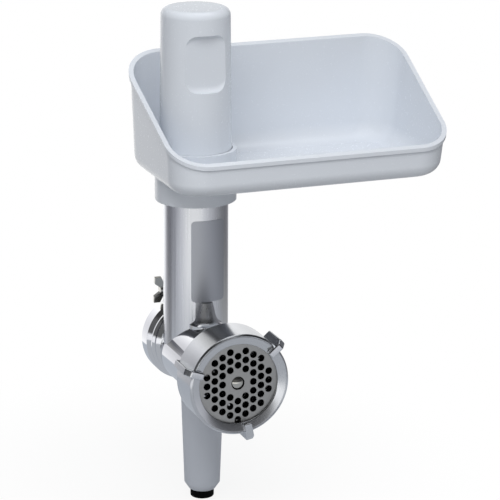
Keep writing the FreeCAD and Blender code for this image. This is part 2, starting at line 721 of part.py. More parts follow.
rounded(leg_foot, "foot_edge", edge_names(leg_foot.Tip, lambda edge: (
    is_ring(edge, size("foot_radius")) and edge.BoundBox.ZMin < FOOT_LEVEL + SMALL)), "foot_round")
bind(leg_foot, y=LEG_Y)


# Tray: flared walls round a flat floor, cut along a sloping rim that carries a small overhang.
TRAY_BASE = "mouth_height - tray_drop"
CORNERS = {
    "corner_front_left": (-1, 1),
    "corner_back_left": (-1, -1),
    "corner_back_right": (1, -1),
    "corner_front_right": (1, 1),
}


def rises_to_corner(edge, form, side, front):
    """Whether an edge climbs the block's wall to one corner of its top."""
    box = form.Shape.BoundBox
    top = max((vertex.Point for vertex in edge.Vertexes), key=lambda point: point.y)
    wanted = V(box.XMax if side > 0 else box.XMin, box.YMax, box.ZMax if front > 0 else box.ZMin)
    return edge.BoundBox.YLength > SMALL and top.distanceToPoint(wanted) < SMALL


def tray_form(label, offset, lift, floor_round):
    """A flared block with rounded corners, grown by an offset; its Y is up and its Z forward."""
    body = doc.addObject("PartDesign::Body", label)
    form = body.newObject("PartDesign::AdditiveWedge", f"{label}_block")
    heights = (lift, "tray_rise")
    start, end = (f"({height}) * tan(tray_flare_angle) + {offset}" for height in heights)
    right_start, right_end = (f"({height}) * tan(tray_right_flare_angle) + {offset}" for height in heights)
    bind(form, Ymin=f"{TRAY_BASE} + {lift}", Ymax=f"{TRAY_BASE} + tray_rise",
         Xmin=f"-(tray_left + {start})", Xmax=f"tray_right + {right_start}",
         Zmin=f"-(tray_back + {start})", Zmax=f"tray_front + {start}",
         X2min=f"-(tray_left + {end})", X2max=f"tray_right + {right_end}",
         Z2min=f"-(tray_back + {end})", Z2max=f"tray_front + {end}")
    doc.recompute()
    for corner, (side, front) in CORNERS.items():
        edges = edge_names(body.Tip, lambda edge: rises_to_corner(edge, form, side, front))
        rounded(body, f"{label}_{corner}", edges, f"{corner} + {offset}")
    if floor_round:
        level = min(vertex.Y for vertex in body.Tip.Shape.Vertexes)
        rounded(body, f"{label}_floor", edge_names(
            body.Tip, lambda edge: edge.BoundBox.YMax < level + SMALL), floor_round)
    body.Placement.Rotation = FreeCAD.Rotation(V(1, 0, 0), QUARTER_TURN)
    doc.recompute()
    return body


tray_outer = tray_form("tray_outer", "0", "0", "tray_outer_round")
tray_inner = tray_form("tray_inner", "-tray_wall", "tray_wall", "tray_inner_round")
tray_rim = tray_form("tray_rim", "rim_overhang", "0", None)
REACH = "2 * (tray_left + tray_right + tray_front + tray_back)"
RIM_FRONT_Y = "-(tray_front + rim_overhang + rim_rise * tan(tray_flare_angle))"


def rim_slab(label, thickness, drop):
    """A wide slab parallel to the rim; its underside lies below the rim plane by the drop."""
    slab = block(label, REACH, f"2 * {REACH}", thickness)
    slab.Placement.Rotation = FreeCAD.Rotation(V(1, 0, 0), size("rim_slope_angle"))
    return bind(slab, x=f"-{REACH} / 2",
                y=f"{RIM_FRONT_Y} - {REACH} * cos(rim_slope_angle) + ({drop}) * sin(rim_slope_angle)",
                z=f"{TRAY_BASE} + rim_rise - {REACH} * sin(rim_slope_angle)"
                  f" - ({drop}) * cos(rim_slope_angle)")


above_rim = rim_slab("above_rim", REACH, "0")
rim_band = rim_slab("rim_band", "rim_depth", "rim_depth")
tray_walls = cut("tray_walls", tray_outer, above_rim)
tray_lip = shared("tray_lip", tray_rim, rim_band)
tray_basin = cut("tray_basin", joined("tray_block", tray_walls, tray_lip), tray_inner)
MOUTH_SEAT = "mouth_height + seat_gap"
SOCKET_BASE = "mouth_height - socket_depth"
SOCKET_TOP = "mouth_height + socket_stand"
tray_socket = turned("tray_socket", "Z", [
    (SOCKET_BASE, "socket_radius - socket_wall"),
    (SOCKET_BASE, "socket_radius"),
    (SOCKET_TOP, "socket_radius"),
    (SOCKET_TOP, "socket_radius - socket_wall"),
    (f"{MOUTH_SEAT} + ledge_thickness", "socket_radius - socket_wall"),
    (f"{MOUTH_SEAT} + ledge_thickness", "stem_radius + 2 * slide_gap"),
    (MOUTH_SEAT, "stem_radius + 2 * slide_gap"),
    (MOUTH_SEAT, "socket_radius - socket_wall"),
])
bind(tray_socket, y=FEED_Y)
socket_clear = rod("socket_clear", "socket_radius - socket_wall / 2", "socket_depth + socket_stand",
                   y=FEED_Y, z=SOCKET_BASE)
tray = joined("tray", cut("tray_pierced", tray_basin, socket_clear), tray_socket)

# Pusher: a tapered handle with a flat finger grip front and back, on a hollow stem with a plug.
PUSHER_SEAT = f"{MOUTH_SEAT} + ledge_thickness + seat_gap"
PUSHER_TOP = "mouth_height + pusher_height"
GRIP_BASE = "mouth_height + pusher_height - grip_drop - grip_height"
STEM_HOLLOW_TOP = "mouth_height + stem_hollow_rise"
RAMP_RUN = "(collar_length + seat_gap + ramp_wall - feed_setback + tube_radius - tube_wall)"
STEM_END = f"{RAMP_LIP} + {RAMP_RUN} * tan(ramp_angle) + stem_clearance"
pusher_turned = turned("pusher_turned", "Z", [
    (PUSHER_TOP, "0"),
    (PUSHER_TOP, "pusher_top_radius"),
    (PUSHER_SEAT, "pusher_base_radius"),
    (PUSHER_SEAT, "stem_radius"),
    (STEM_END, "stem_radius"),
    (STEM_END, "stem_radius - stem_wall"),
    (STEM_HOLLOW_TOP, "stem_radius - stem_wall"),
    (STEM_HOLLOW_TOP, "0"),
])
rounded(pusher_turned, "pusher_crown", edge_names(
    pusher_turned.Tip, lambda edge: is_ring(edge, size("pusher_top_radius"))), "pusher_round")
bind(pusher_turned, y=FEED_Y)
grips = []
for name, place in (("grip_front", "-(feed_setback + grip_flat + pusher_base_radius)"),
                    ("grip_back", "-(feed_setback - grip_flat)")):
    grip = doc.addObject("PartDesign::Body", name)
    pocket = grip.newObject("PartDesign::AdditiveBox", f"{name}_block")
    bind(pocket, Length="grip_width", Width="pusher_base_radius", Height="grip_height")
    doc.recompute()
    rounded(grip, f"{name}_corners", edge_names(
        pocket, lambda edge: edge.BoundBox.YLength > size("pusher_base_radius") / 2), "grip_round")
    bind(grip, x="-grip_width / 2", y=place, z=GRIP_BASE)
    grips.append(grip)
pusher = cut("pusher", pusher_turned, *grips)
pusher_plug = rod("pusher_plug", "stem_radius - stem_wall - press_gap", "plug_thickness",
                  y=FEED_Y, z=STEM_END)

doc.recompute()

NODES = [
    grinder_housing, drive_collar, collar_dowel, rear_bush, shaft_seal, plate_key, label_plate,
    worm, drive_socket, drive_pin, thrust_washer, front_stud, knife,
    perforated_plate, ring_nut, wing_screw,
    tray, pusher, pusher_plug,
    leg, leg_stud, leg_foot,
]
for item in doc.Objects:
    if "Invalid" in item.State or "Error" in item.State:
        raise RuntimeError(f"{item.Label} did not build: {item.State}")
for item in NODES:
    if item.Shape.isNull() or not item.Shape.isValid() or len(item.Shape.Solids) != 1:
        raise RuntimeError(f"{item.Label} is not one valid solid")
os.makedirs("parts", exist_ok=True)
for item in NODES:
    item.Shape.exportStep(f"parts/{item.Label}.step")
    print(item.Label, round(item.Shape.Volume, 1))
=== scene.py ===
# %% [markdown]
# Meat grinder attachment for a kitchen machine. A cast aluminium housing carries a pale grey tray
# with its pusher above, a perforated plate behind a lugged ring nut in front, a drive collar with
# a wing screw behind, and a grey leg below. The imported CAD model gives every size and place, so
# this script only adds what the eye sees: rounded edges, finishes, light and a camera.

# %% Load the frame
import math

import bmesh
import bpy
from mathutils import Matrix, Vector


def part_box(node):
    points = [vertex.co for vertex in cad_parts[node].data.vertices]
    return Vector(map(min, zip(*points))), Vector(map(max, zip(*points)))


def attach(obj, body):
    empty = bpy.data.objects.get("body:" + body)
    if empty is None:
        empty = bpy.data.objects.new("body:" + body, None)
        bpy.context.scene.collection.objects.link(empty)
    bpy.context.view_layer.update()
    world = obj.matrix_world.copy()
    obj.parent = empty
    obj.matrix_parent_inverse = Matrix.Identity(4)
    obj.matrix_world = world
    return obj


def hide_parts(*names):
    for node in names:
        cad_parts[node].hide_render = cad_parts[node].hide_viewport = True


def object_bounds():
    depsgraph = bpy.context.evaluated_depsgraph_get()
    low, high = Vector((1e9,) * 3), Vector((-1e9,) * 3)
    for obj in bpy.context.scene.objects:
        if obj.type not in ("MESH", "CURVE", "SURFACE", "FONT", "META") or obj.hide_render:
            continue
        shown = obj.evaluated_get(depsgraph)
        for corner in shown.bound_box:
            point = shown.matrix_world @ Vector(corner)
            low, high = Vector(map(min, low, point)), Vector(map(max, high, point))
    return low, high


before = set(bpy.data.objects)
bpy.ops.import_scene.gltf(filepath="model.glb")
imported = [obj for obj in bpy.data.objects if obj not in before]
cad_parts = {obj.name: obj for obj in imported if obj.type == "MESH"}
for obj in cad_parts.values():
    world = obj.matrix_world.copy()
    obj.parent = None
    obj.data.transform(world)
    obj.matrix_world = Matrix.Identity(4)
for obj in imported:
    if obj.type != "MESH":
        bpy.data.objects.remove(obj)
cad_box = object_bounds()
MM = 0.001
print("CAD box in mm:", [[round(value / MM, 1) for value in corner] for corner in cad_box])

# %% [markdown]
# Colours are picked as sRGB hex values, the way a paint chart gives them, but shader sockets want
# linear light. One function turns one into the other. A second adds a node, sets it up and links
# it, which keeps each material below short enough to read as a recipe.

# %% Colour and node helpers


def linear(hex_colour):
    """An sRGB hex colour as linear red, green, blue and full alpha."""
    parts = [int(hex_colour[place:place + 2], 16) / 255 for place in (1, 3, 5)]
    return [part / 12.92 if part <= 0.04045 else ((part + 0.055) / 1.055) ** 2.4 for part in parts] + [1.0]


def add_node(tree, kind, inputs, **settings):
    """A new node with its settings; each input is a value, or a socket to link from."""
    node = tree.nodes.new(kind)
    for name, value in settings.items():
        setattr(node, name, value)
    for name, value in inputs.items():
        if isinstance(value, bpy.types.NodeSocket):
            tree.links.new(value, node.inputs[name])
        else:
            node.inputs[name].default_value = value
    return node


def new_material(name):
    """A material with an empty tree, an output and Object coordinates in metres."""
    material = bpy.data.materials.new(name)
    material.use_nodes = True
    material.node_tree.nodes.clear()
    output = add_node(material.node_tree, "ShaderNodeOutputMaterial", {})
    place = add_node(material.node_tree, "ShaderNodeTexCoord", {}).outputs["Object"]
    return material, material.node_tree, output, place


# %% [markdown]
# The tray and the pusher are injection-moulded ABS in a pale cool grey. A polished mould leaves a
# soft gloss and a very shallow waviness, called orange peel, about a millimetre and a half across.

# %% Pale grey ABS
PEEL = 1.5 * MM
FLOW_MARK = 45 * MM

grey_abs, tree, output, place = new_material("moulded_grey_abs")
peel = add_node(tree, "ShaderNodeTexNoise", {"Vector": place, "Scale": 1 / PEEL, "Detail": 2.0})
peel_bump = add_node(tree, "ShaderNodeBump", {
    "Height": peel.outputs["Fac"], "Strength": 0.06, "Distance": 0.1 * MM})
flow = add_node(tree, "ShaderNodeTexNoise", {"Vector": place, "Scale": 1 / FLOW_MARK, "Detail": 3.0})
abs_colour = add_node(tree, "ShaderNodeValToRGB", {"Fac": flow.outputs["Fac"]})
abs_colour.color_ramp.elements[0].color = linear("#E0E5EC")
abs_colour.color_ramp.elements[1].color = linear("#E6EBF2")
abs_gloss = add_node(tree, "ShaderNodeMapRange", {
    "Value": peel.outputs["Fac"], "To Min": 0.22, "To Max": 0.3})
abs_shader = add_node(tree, "ShaderNodeBsdfPrincipled", {
    "Base Color": abs_colour.outputs["Color"], "Roughness": abs_gloss.outputs["Result"],
    "IOR": 1.53, "Normal": peel_bump.outputs["Normal"]})
tree.links.new(abs_shader.outputs["BSDF"], output.inputs["Surface"])
print("made", grey_abs.name)

# %% [markdown]
# The leg is a darker, less shiny grey moulding. Its mould was spark-eroded, which leaves a fine
# matt grain of about a third of a millimetre; it is drawn a little coarser here so that it shows.

# %% Grey grained plastic
GRAIN = 0.6 * MM

leg_plastic, tree, output, place = new_material("grained_grey_polypropylene")
grain = add_node(tree, "ShaderNodeTexNoise", {"Vector": place, "Scale": 1 / GRAIN, "Detail": 3.0})
grain_bump = add_node(tree, "ShaderNodeBump", {
    "Height": grain.outputs["Fac"], "Strength": 0.25, "Distance": 0.1 * MM})
leg_tint = add_node(tree, "ShaderNodeTexNoise", {"Vector": place, "Scale": 1 / FLOW_MARK, "Detail": 2.0})
leg_colour = add_node(tree, "ShaderNodeValToRGB", {"Fac": leg_tint.outputs["Fac"]})
leg_colour.color_ramp.elements[0].color = linear("#CDD2DB")
leg_colour.color_ramp.elements[1].color = linear("#D5DAE3")
leg_shader = add_node(tree, "ShaderNodeBsdfPrincipled", {
    "Base Color": leg_colour.outputs["Color"], "Roughness": 0.45, "IOR": 1.49,
    "Normal": grain_bump.outputs["Normal"]})
tree.links.new(leg_shader.outputs["BSDF"], output.inputs["Surface"])
print("made", leg_plastic.name)

# %% [markdown]
# The feed tube is cast aluminium that was brushed along its length: fine upright scratches blur
# reflections sideways. The scratches are about a tenth of a millimetre wide, too fine for the
# picture, so they are drawn at half a millimetre.

# %% Brushed aluminium
SCRATCH = 0.5 * MM
SCRATCH_LENGTH = 30 * MM

brushed_aluminium, tree, output, place = new_material("brushed_cast_aluminium")
stretched = add_node(tree, "ShaderNodeMapping", {
    "Vector": place, "Scale": (1 / SCRATCH, 1 / SCRATCH, 1 / SCRATCH_LENGTH)})
scratches = add_node(tree, "ShaderNodeTexNoise", {
    "Vector": stretched.outputs["Vector"], "Scale": 1.0, "Detail": 4.0})
scratch_bump = add_node(tree, "ShaderNodeBump", {
    "Height": scratches.outputs["Fac"], "Strength": 0.15, "Distance": 0.05 * MM})
scratch_gloss = add_node(tree, "ShaderNodeMapRange", {
    "Value": scratches.outputs["Fac"], "To Min": 0.22, "To Max": 0.36})
brushed_shader = add_node(tree, "ShaderNodeBsdfPrincipled", {
    "Base Color": linear("#EAECEF"), "Metallic": 1.0, "Roughness": scratch_gloss.outputs["Result"],
    "Normal": scratch_bump.outputs["Normal"]})
tree.links.new(brushed_shader.outputs["BSDF"], output.inputs["Surface"])
print("made", brushed_aluminium.name)

# %% [markdown]
# The ring nut was turned on a lathe. The tool leaves fine rings round the axis, which draw a
# reflection out into a fan, so the pattern depends on the distance from that axis and on the place
# along it. The rings are drawn at 0.7 mm, coarser than a real tool's feed, so that they show.

# %% Turned aluminium
TOOL_MARK = 0.7 * MM

turned_aluminium, tree, output, place = new_material("turned_aluminium")
axes = add_node(tree, "ShaderNodeSeparateXYZ", {"Vector": place})
radius_vector = add_node(tree, "ShaderNodeCombineXYZ", {"X": axes.outputs["X"], "Y": axes.outputs["Z"]})
radius = add_node(tree, "ShaderNodeVectorMath", {0: radius_vector.outputs["Vector"]}, operation="LENGTH")
along_and_out = add_node(tree, "ShaderNodeMath", {
    0: radius.outputs["Value"], 1: axes.outputs["Y"]}, operation="SUBTRACT")
tool_line = add_node(tree, "ShaderNodeCombineXYZ", {"X": along_and_out.outputs["Value"]})
tool_marks = add_node(tree, "ShaderNodeTexNoise", {
    "Vector": tool_line.outputs["Vector"], "Scale": 1 / TOOL_MARK, "Detail": 3.0})
tool_bump = add_node(tree, "ShaderNodeBump", {
    "Height": tool_marks.outputs["Fac"], "Strength": 0.2, "Distance": 0.05 * MM})
tool_gloss = add_node(tree, "ShaderNodeMapRange", {
    "Value": tool_marks.outputs["Fac"], "To Min": 0.14, "To Max": 0.26})
turned_shader = add_node(tree, "ShaderNodeBsdfPrincipled", {
    "Base Color": linear("#DADCDF"), "Metallic": 1.0, "Roughness": tool_gloss.outputs["Result"],
    "Normal": tool_bump.outputs["Normal"]})
tree.links.new(turned_shader.outputs["BSDF"], output.inputs["Surface"])
print("made", turned_aluminium.name)

# %% [markdown]
# The plate is steel that was ground flat. The wheel leaves a fine uneven grain, a little under a
# millimetre across, which spreads every reflection, so the plate looks an even satin grey.

# %% Ground steel
GRIND = 0.9 * MM

ground_steel, tree, output, place = new_material("ground_steel")
grind = add_node(tree, "ShaderNodeTexNoise", {"Vector": place, "Scale": 1 / GRIND, "Detail": 5.0})
grind_bump = add_node(tree, "ShaderNodeBump", {
    "Height": grind.outputs["Fac"], "Strength": 0.3, "Distance": 0.05 * MM})
ground_shader = add_node(tree, "ShaderNodeBsdfPrincipled", {
    "Base Color": linear("#BCBCBA"), "Metallic": 1.0, "Roughness": 0.48,
    "Normal": grind_bump.outputs["Normal"]})
tree.links.new(ground_shader.outputs["BSDF"], output.inputs["Surface"])
print("made", ground_steel.name)

# %% [markdown]
# The other metals differ only in colour, in gloss and in the size of the patches over which the
# gloss changes, so one recipe makes them all. The polished barrel and collar mirror the room
# sharply, with faint wiping smears about a centimetre across. Plain steel is bright with faint
# stains, the foil is satin, and sintered bronze is porous. A near-black steel paints shade: it goes
# where little light reaches, on the walls of the plate's holes and on the knife, which are plain steel.

# %% Other metals
METALS = {  # colour, patch size, detail, smoothest and roughest patch
    "polished_cast_aluminium": ("#E9EAEC", 12 * MM, 4.0, 0.05, 0.11),
    "plain_steel": ("#C9C8C2", 3 * MM, 4.0, 0.07, 0.16),
    # near-black steel: painted shade for the plate's hole walls and the knife, which are plain steel
    "painted_shade_steel": ("#1C1C1E", 2 * MM, 4.0, 0.45, 0.65),
    "anodised_foil": ("#CED1D7", 0.8 * MM, 3.0, 0.42, 0.5),
    "sintered_bronze": ("#B48A52", 0.6 * MM, 4.0, 0.35, 0.6),
}
metals = []
for name, (colour, patch, detail, smoothest, roughest) in METALS.items():
    metal, tree, output, place = new_material(name)
    patches = add_node(tree, "ShaderNodeTexNoise", {"Vector": place, "Scale": 1 / patch, "Detail": detail})
    metal_gloss = add_node(tree, "ShaderNodeMapRange", {
        "Value": patches.outputs["Fac"], "To Min": smoothest, "To Max": roughest})
    metal_shader = add_node(tree, "ShaderNodeBsdfPrincipled", {
        "Base Color": linear(colour), "Metallic": 1.0, "Roughness": metal_gloss.outputs["Result"]})
    tree.links.new(metal_shader.outputs["BSDF"], output.inputs["Surface"])
    metals.append(metal)
    print("made", metal.name)
polished_aluminium, plain_steel, painted_shade_steel, foil, bronze = metals

# %% [markdown]
# The foot and the seal are black rubber: almost no shine, and a faint bloom in patches of two
# millimetres. The thrust washer is white acetal, a slippery plastic with a slight machined sheen.

# %% Rubber and acetal
BLOOM = 2 * MM
MACHINING = 1 * MM

rubber, tree, output, place = new_material("black_rubber")
bloom = add_node(tree, "ShaderNodeTexNoise", {"Vector": place, "Scale": 1 / BLOOM, "Detail": 4.0})
bloom_colour = add_node(tree, "ShaderNodeValToRGB", {"Fac": bloom.outputs["Fac"]})
bloom_colour.color_ramp.elements[0].color = linear("#030304")
bloom_colour.color_ramp.elements[1].color = linear("#08080A")
rubber_shader = add_node(tree, "ShaderNodeBsdfPrincipled", {
    "Base Color": bloom_colour.outputs["Color"], "Roughness": 0.8, "IOR": 1.52, "Specular IOR Level": 0.1})
tree.links.new(rubber_shader.outputs["BSDF"], output.inputs["Surface"])

acetal, tree, output, place = new_material("white_acetal")
machining = add_node(tree, "ShaderNodeTexNoise", {"Vector": place, "Scale": 1 / MACHINING, "Detail": 3.0})
acetal_gloss = add_node(tree, "ShaderNodeMapRange", {
    "Value": machining.outputs["Fac"], "To Min": 0.3, "To Max": 0.45})
acetal_shader = add_node(tree, "ShaderNodeBsdfPrincipled", {
    "Base Color": linear("#E6E5DF"), "Roughness": acetal_gloss.outputs["Result"], "IOR": 1.48})
tree.links.new(acetal_shader.outputs["BSDF"], output.inputs["Surface"])
print("made", rubber.name, "and", acetal.name)

# %% [markdown]
# Hand modelling needs the same few moves again and again: add a start shape with nothing else
# selected, size a block, pick vertices, edges or faces by their place, and finish the piece.
# Picking by place is how a script does what a hand does with a click.

# %% Modelling helpers
SMALL = 0.01 * MM
SMOOTH_ANGLE = math.radians(32)
ALONG_X, ALONG_Y, ALONG_Z = Vector((1, 0, 0)), Vector((0, 1, 0)), Vector((0, 0, 1))


def select_only(*pieces):
    """Select these pieces and nothing else; the first becomes the active one."""
    bpy.ops.object.select_all(action="DESELECT")
    for piece in pieces:
        piece.select_set(True)
    bpy.context.view_layer.objects.active = pieces[0]


def start(name, add_primitive, **settings):
    """A new primitive with nothing else selected, open in edit mode."""
    bpy.ops.object.select_all(action="DESELECT")
    add_primitive(**settings)
    piece = bpy.context.object
    piece.name = name
    bpy.ops.object.mode_set(mode="EDIT")
    bpy.ops.mesh.select_mode(type="VERT")
    return piece


def block(name, size, centre):
    """A block of three sizes about a centre, open in edit mode."""
    piece = start(name, bpy.ops.mesh.primitive_cube_add, size=1)
    bpy.ops.transform.resize(value=size)
    bpy.ops.transform.translate(value=centre)
    return piece


def pick(piece, kind, wanted):
    """Select the vertices, edges or faces that pass a test, and nothing else."""
    bpy.ops.mesh.select_mode(type=kind)
    bpy.ops.mesh.select_all(action="DESELECT")
    mesh = bmesh.from_edit_mesh(piece.data)
    parts = {"VERT": mesh.verts, "EDGE": mesh.edges, "FACE": mesh.faces}[kind]
    chosen = [part for part in parts if wanted(part)]
    for part in chosen:
        part.select_set(True)
    mesh.select_flush_mode()
    bmesh.update_edit_mesh(piece.data)
    return len(chosen)


def middle(edge):
    """The middle of an edge."""
    return (edge.verts[0].co + edge.verts[1].co) / 2


def join(first, *others):
    """Several open pieces as one object, which keeps the first one's name."""
    select_only(first, *others)
    bpy.ops.object.join()
    return first


def apply_modifier(piece, kind, **settings):
    """A modifier with its settings, applied at once."""
    select_only(piece)
    modifier = piece.modifiers.new(kind.lower(), kind)
    for name, value in settings.items():
        setattr(modifier, name, value)
    bpy.ops.object.modifier_apply(modifier=modifier.name)


def carve(piece, tool, operation="DIFFERENCE"):
    """Take a tool's shape out of a piece, or add it, and throw the tool away."""
    apply_modifier(piece, "BOOLEAN", object=tool, operation=operation, solver="EXACT")
    bpy.data.objects.remove(tool)


def finish_piece(piece, body, material, nodes, edge_round, segments=3):
    """Round the edges, smooth, dress and hang a piece on its body in place of CAD nodes."""
    select_only(piece)
    bpy.ops.object.transform_apply(location=True, rotation=True, scale=True)
    if edge_round:
        apply_modifier(piece, "BEVEL", width=edge_round, segments=segments, limit_method="ANGLE",
                       angle_limit=SMOOTH_ANGLE)
    bpy.ops.object.shade_smooth_by_angle(angle=SMOOTH_ANGLE)
    apply_modifier(piece, "WEIGHTED_NORMAL", keep_sharp=True)
    piece.data.materials.clear()
    piece.data.materials.append(material)
    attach(piece, body)
    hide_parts(*nodes)
    print(piece.name, "has", len(piece.data.polygons), "faces")


# %% [markdown]
# Most of this object is round, and round things are turned. An outline starts as one vertex, which
# is extruded from point to point, and the Spin operator sweeps it about the axis. The sweep ends
# where it began, so the doubled seam is merged before the normals are made consistent.

# %% Turning helper
SPIN_STEPS = 96


def sweep(name, points, steps, angle, centre, axis):
    """A line from point to point, swept about an axis, with doubled points merged."""
    piece = start(name, bpy.ops.mesh.primitive_plane_add, size=MM)
    bpy.ops.mesh.merge(type="CENTER")
    bpy.ops.transform.translate(value=points[0])
    for here, there in zip(points, points[1:]):
        bpy.ops.mesh.extrude_region_move(TRANSFORM_OT_translate={"value": there - here})
    bpy.ops.mesh.select_all(action="SELECT")
    bpy.ops.mesh.spin(steps=steps, angle=angle, center=centre, axis=axis)
    bpy.ops.mesh.select_all(action="SELECT")
    bpy.ops.mesh.remove_doubles(threshold=SMALL / 10)
    bpy.ops.mesh.normals_make_consistent(inside=False)
    bpy.ops.object.mode_set(mode="OBJECT")
    return piece


def turn(name, along, centre, outline):
    """A piece turned about an axis; the outline is a list of (place along it, radius)."""
    out = ALONG_Z if along.x else ALONG_X
    points = [centre + along * place + out * radius for place, radius in outline]
    return sweep(name, points, SPIN_STEPS, math.tau, centre, along)


def arc(along, radius, size, first, last, steps=8):
    """Points (along, radius) of an arc about a centre, between two angles in degrees."""
    angles = [math.radians(first + (last - first) * step / steps) for step in range(steps + 1)]
    return [(along + size * math.sin(angle), radius + size * math.cos(angle)) for angle in angles]


# %% [markdown]
# The tray is a deep box with flared walls, rounded uprights and a rim that climbs to the back. It
# is built as three open boxes: the outside, the inside one wall smaller, and a low band for the
# lip. Each starts as a cube whose corners are moved into place. Bridging their open edges then
# closes the wall, which gives the inside its own, softer floor round that a Solidify modifier
# could not.

# %% The tray's walls
TRAY_FLOOR = 115.5 * MM
FLOOR_X = {-1: -31.0 * MM, 1: 154.6 * MM}
FLOOR_Y = {-1: -84.8 * MM, 1: 26.1 * MM}
WALL_FLARE = math.tan(math.radians(1.8))
X_FLARE = {-1: WALL_FLARE, 1: math.tan(math.radians(6.5))}
RIM_SLOPE = math.radians(23.9)
RIM_FRONT_Y, RIM_FRONT_Z = -86.775 * MM, 137.0 * MM
UPRIGHT_ROUND = {(-1, -1): 22 * MM, (-1, 1): 28 * MM, (1, 1): 24 * MM, (1, -1): 22 * MM}
TRAY_WALL, LIP_OUT, LIP_DEPTH = 1.9 * MM, 1.3 * MM, 2.3 * MM
OUTER_FLOOR_ROUND, INNER_FLOOR_ROUND = 9 * MM, 12 * MM
UPRIGHT_STEPS, FLOOR_STEPS = 12, 8


def rim_height(y, drop):
    """Height of the rim plane, or of one a little below it, at a place along Y."""
    return RIM_FRONT_Z + (y - RIM_FRONT_Y) * math.tan(RIM_SLOPE) - drop / math.cos(RIM_SLOPE)


def wall_corner(side, end, grow, height):
    """One corner of the walls at a height, grown outwards."""
    rise = height - TRAY_FLOOR
    return Vector((FLOOR_X[side] + side * (grow + rise * X_FLARE[side]),
                   FLOOR_Y[end] + end * (grow + rise * WALL_FLARE), height))


def rim_corner(side, end, grow, drop):
    """One corner of the walls where they meet the rim plane."""
    slant = end * WALL_FLARE * math.tan(RIM_SLOPE)
    level = rim_height(FLOOR_Y[end] + end * grow, drop)
    return wall_corner(side, end, grow, (level - TRAY_FLOOR * slant) / (1 - slant))


def tray_shell(name, grow, drop, foot, floor_round):
    """An open box of tray walls, up to a drop below the rim; foot gives its lower corners."""
    shell = start(name, bpy.ops.mesh.primitive_cube_add, size=1)
    pick(shell, "FACE", lambda face: face.normal.z > 0.5 or (not floor_round and face.normal.z < -0.5))
    bpy.ops.mesh.delete(type="ONLY_FACE")
    for side, end in UPRIGHT_ROUND:
        low, high = foot(side, end), rim_corner(side, end, grow, drop)
        for level, goal in ((-0.5, low), (0.5, high)):
            here = Vector((side / 2, end / 2, level))
            pick(shell, "VERT", lambda vertex: (vertex.co - here).length < SMALL)
            bpy.ops.transform.translate(value=goal - here)
    for (side, end), upright_round in UPRIGHT_ROUND.items():
        centre = (foot(side, end) + rim_corner(side, end, grow, drop)) / 2
        pick(shell, "EDGE", lambda edge: (middle(edge) - centre).length < SMALL)
        bpy.ops.mesh.bevel(offset=upright_round + grow, segments=UPRIGHT_STEPS, affect="EDGES")
    if floor_round:
        level = foot(1, 1).z + SMALL
        pick(shell, "EDGE", lambda edge: all(vertex.co.z < level for vertex in edge.verts))
        bpy.ops.mesh.bevel(offset=floor_round, segments=FLOOR_STEPS, affect="EDGES")
    bpy.ops.object.mode_set(mode="OBJECT")
    return shell


outside = tray_shell("tray_piece", 0, LIP_DEPTH, lambda side, end: wall_corner(side, end, 0, TRAY_FLOOR),
                     OUTER_FLOOR_ROUND)
inside = tray_shell("inside", -TRAY_WALL, 0, lambda side, end: wall_corner(
    side, end, -TRAY_WALL, TRAY_FLOOR + TRAY_WALL), INNER_FLOOR_ROUND)
bpy.ops.object.mode_set(mode="EDIT")
bpy.ops.mesh.select_all(action="SELECT")
bpy.ops.mesh.flip_normals()
bpy.ops.object.mode_set(mode="OBJECT")
lip = tray_shell("lip", LIP_OUT, 0, lambda side, end: rim_corner(side, end, LIP_OUT, LIP_DEPTH), None)
tray = join(outside, inside, lip)
bpy.ops.object.mode_set(mode="EDIT")
for drop in (LIP_DEPTH, 0):
    picked = pick(tray, "EDGE", lambda edge: edge.is_boundary and all(
        abs(vertex.co.z - rim_height(vertex.co.y, drop)) < SMALL for vertex in edge.verts))
    bpy.ops.mesh.bridge_edge_loops()
    print("bridged", picked, "edges", drop / MM, "mm below the rim")
bpy.ops.mesh.select_all(action="SELECT")
bpy.ops.mesh.normals_make_consistent(inside=False)
bpy.ops.object.mode_set(mode="OBJECT")

# %% [markdown]
# A round socket stands in the tray's floor, slips over the tube's mouth and carries the pusher. It
# could be inset and extruded from the floor, but its ledge lies inside it, so it is turned on its
# own and united with the floor, which is bored through first.

# %% The tray's socket
TUBE_CENTRE = Vector((0, -28.2 * MM, 0))
SOCKET_BASE, SOCKET_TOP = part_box("tray")[0].z, 135 * MM
SOCKET_OUT, SOCKET_IN = 26.5 * MM, 23.8 * MM
LEDGE_LOW, LEDGE_HIGH, LEDGE_BORE = 124.3 * MM, 126.7 * MM, 18.3 * MM
BORE_LOW, BORE_HIGH = TRAY_FLOOR - TRAY_WALL, TRAY_FLOOR + 3 * TRAY_WALL
BORE_OUT = (SOCKET_OUT + SOCKET_IN) / 2
bore = turn("bore", ALONG_Z, TUBE_CENTRE, [
    (BORE_LOW, 0), (BORE_LOW, BORE_OUT), (BORE_HIGH, BORE_OUT), (BORE_HIGH, 0)])
carve(tray, bore)
socket = turn("socket", ALONG_Z, TUBE_CENTRE, [
    (SOCKET_BASE, SOCKET_IN), (SOCKET_BASE, SOCKET_OUT), (SOCKET_TOP, SOCKET_OUT), (SOCKET_TOP, SOCKET_IN),
    (LEDGE_HIGH, SOCKET_IN), (LEDGE_HIGH, LEDGE_BORE), (LEDGE_LOW, LEDGE_BORE), (LEDGE_LOW, SOCKET_IN),
    (SOCKET_BASE, SOCKET_IN)])
carve(tray, socket, "UNION")
finish_piece(tray, "tray", grey_abs, ["tray"], edge_round=0.9 * MM)

# %% [markdown]
# The pusher is a tapered handle on a hollow stem. Two soft finger grips are pressed into it, front
# and back. The handle is turned, and a block with rounded edges takes each grip out, so that the
# grip's floor runs into its ledges with a soft round.

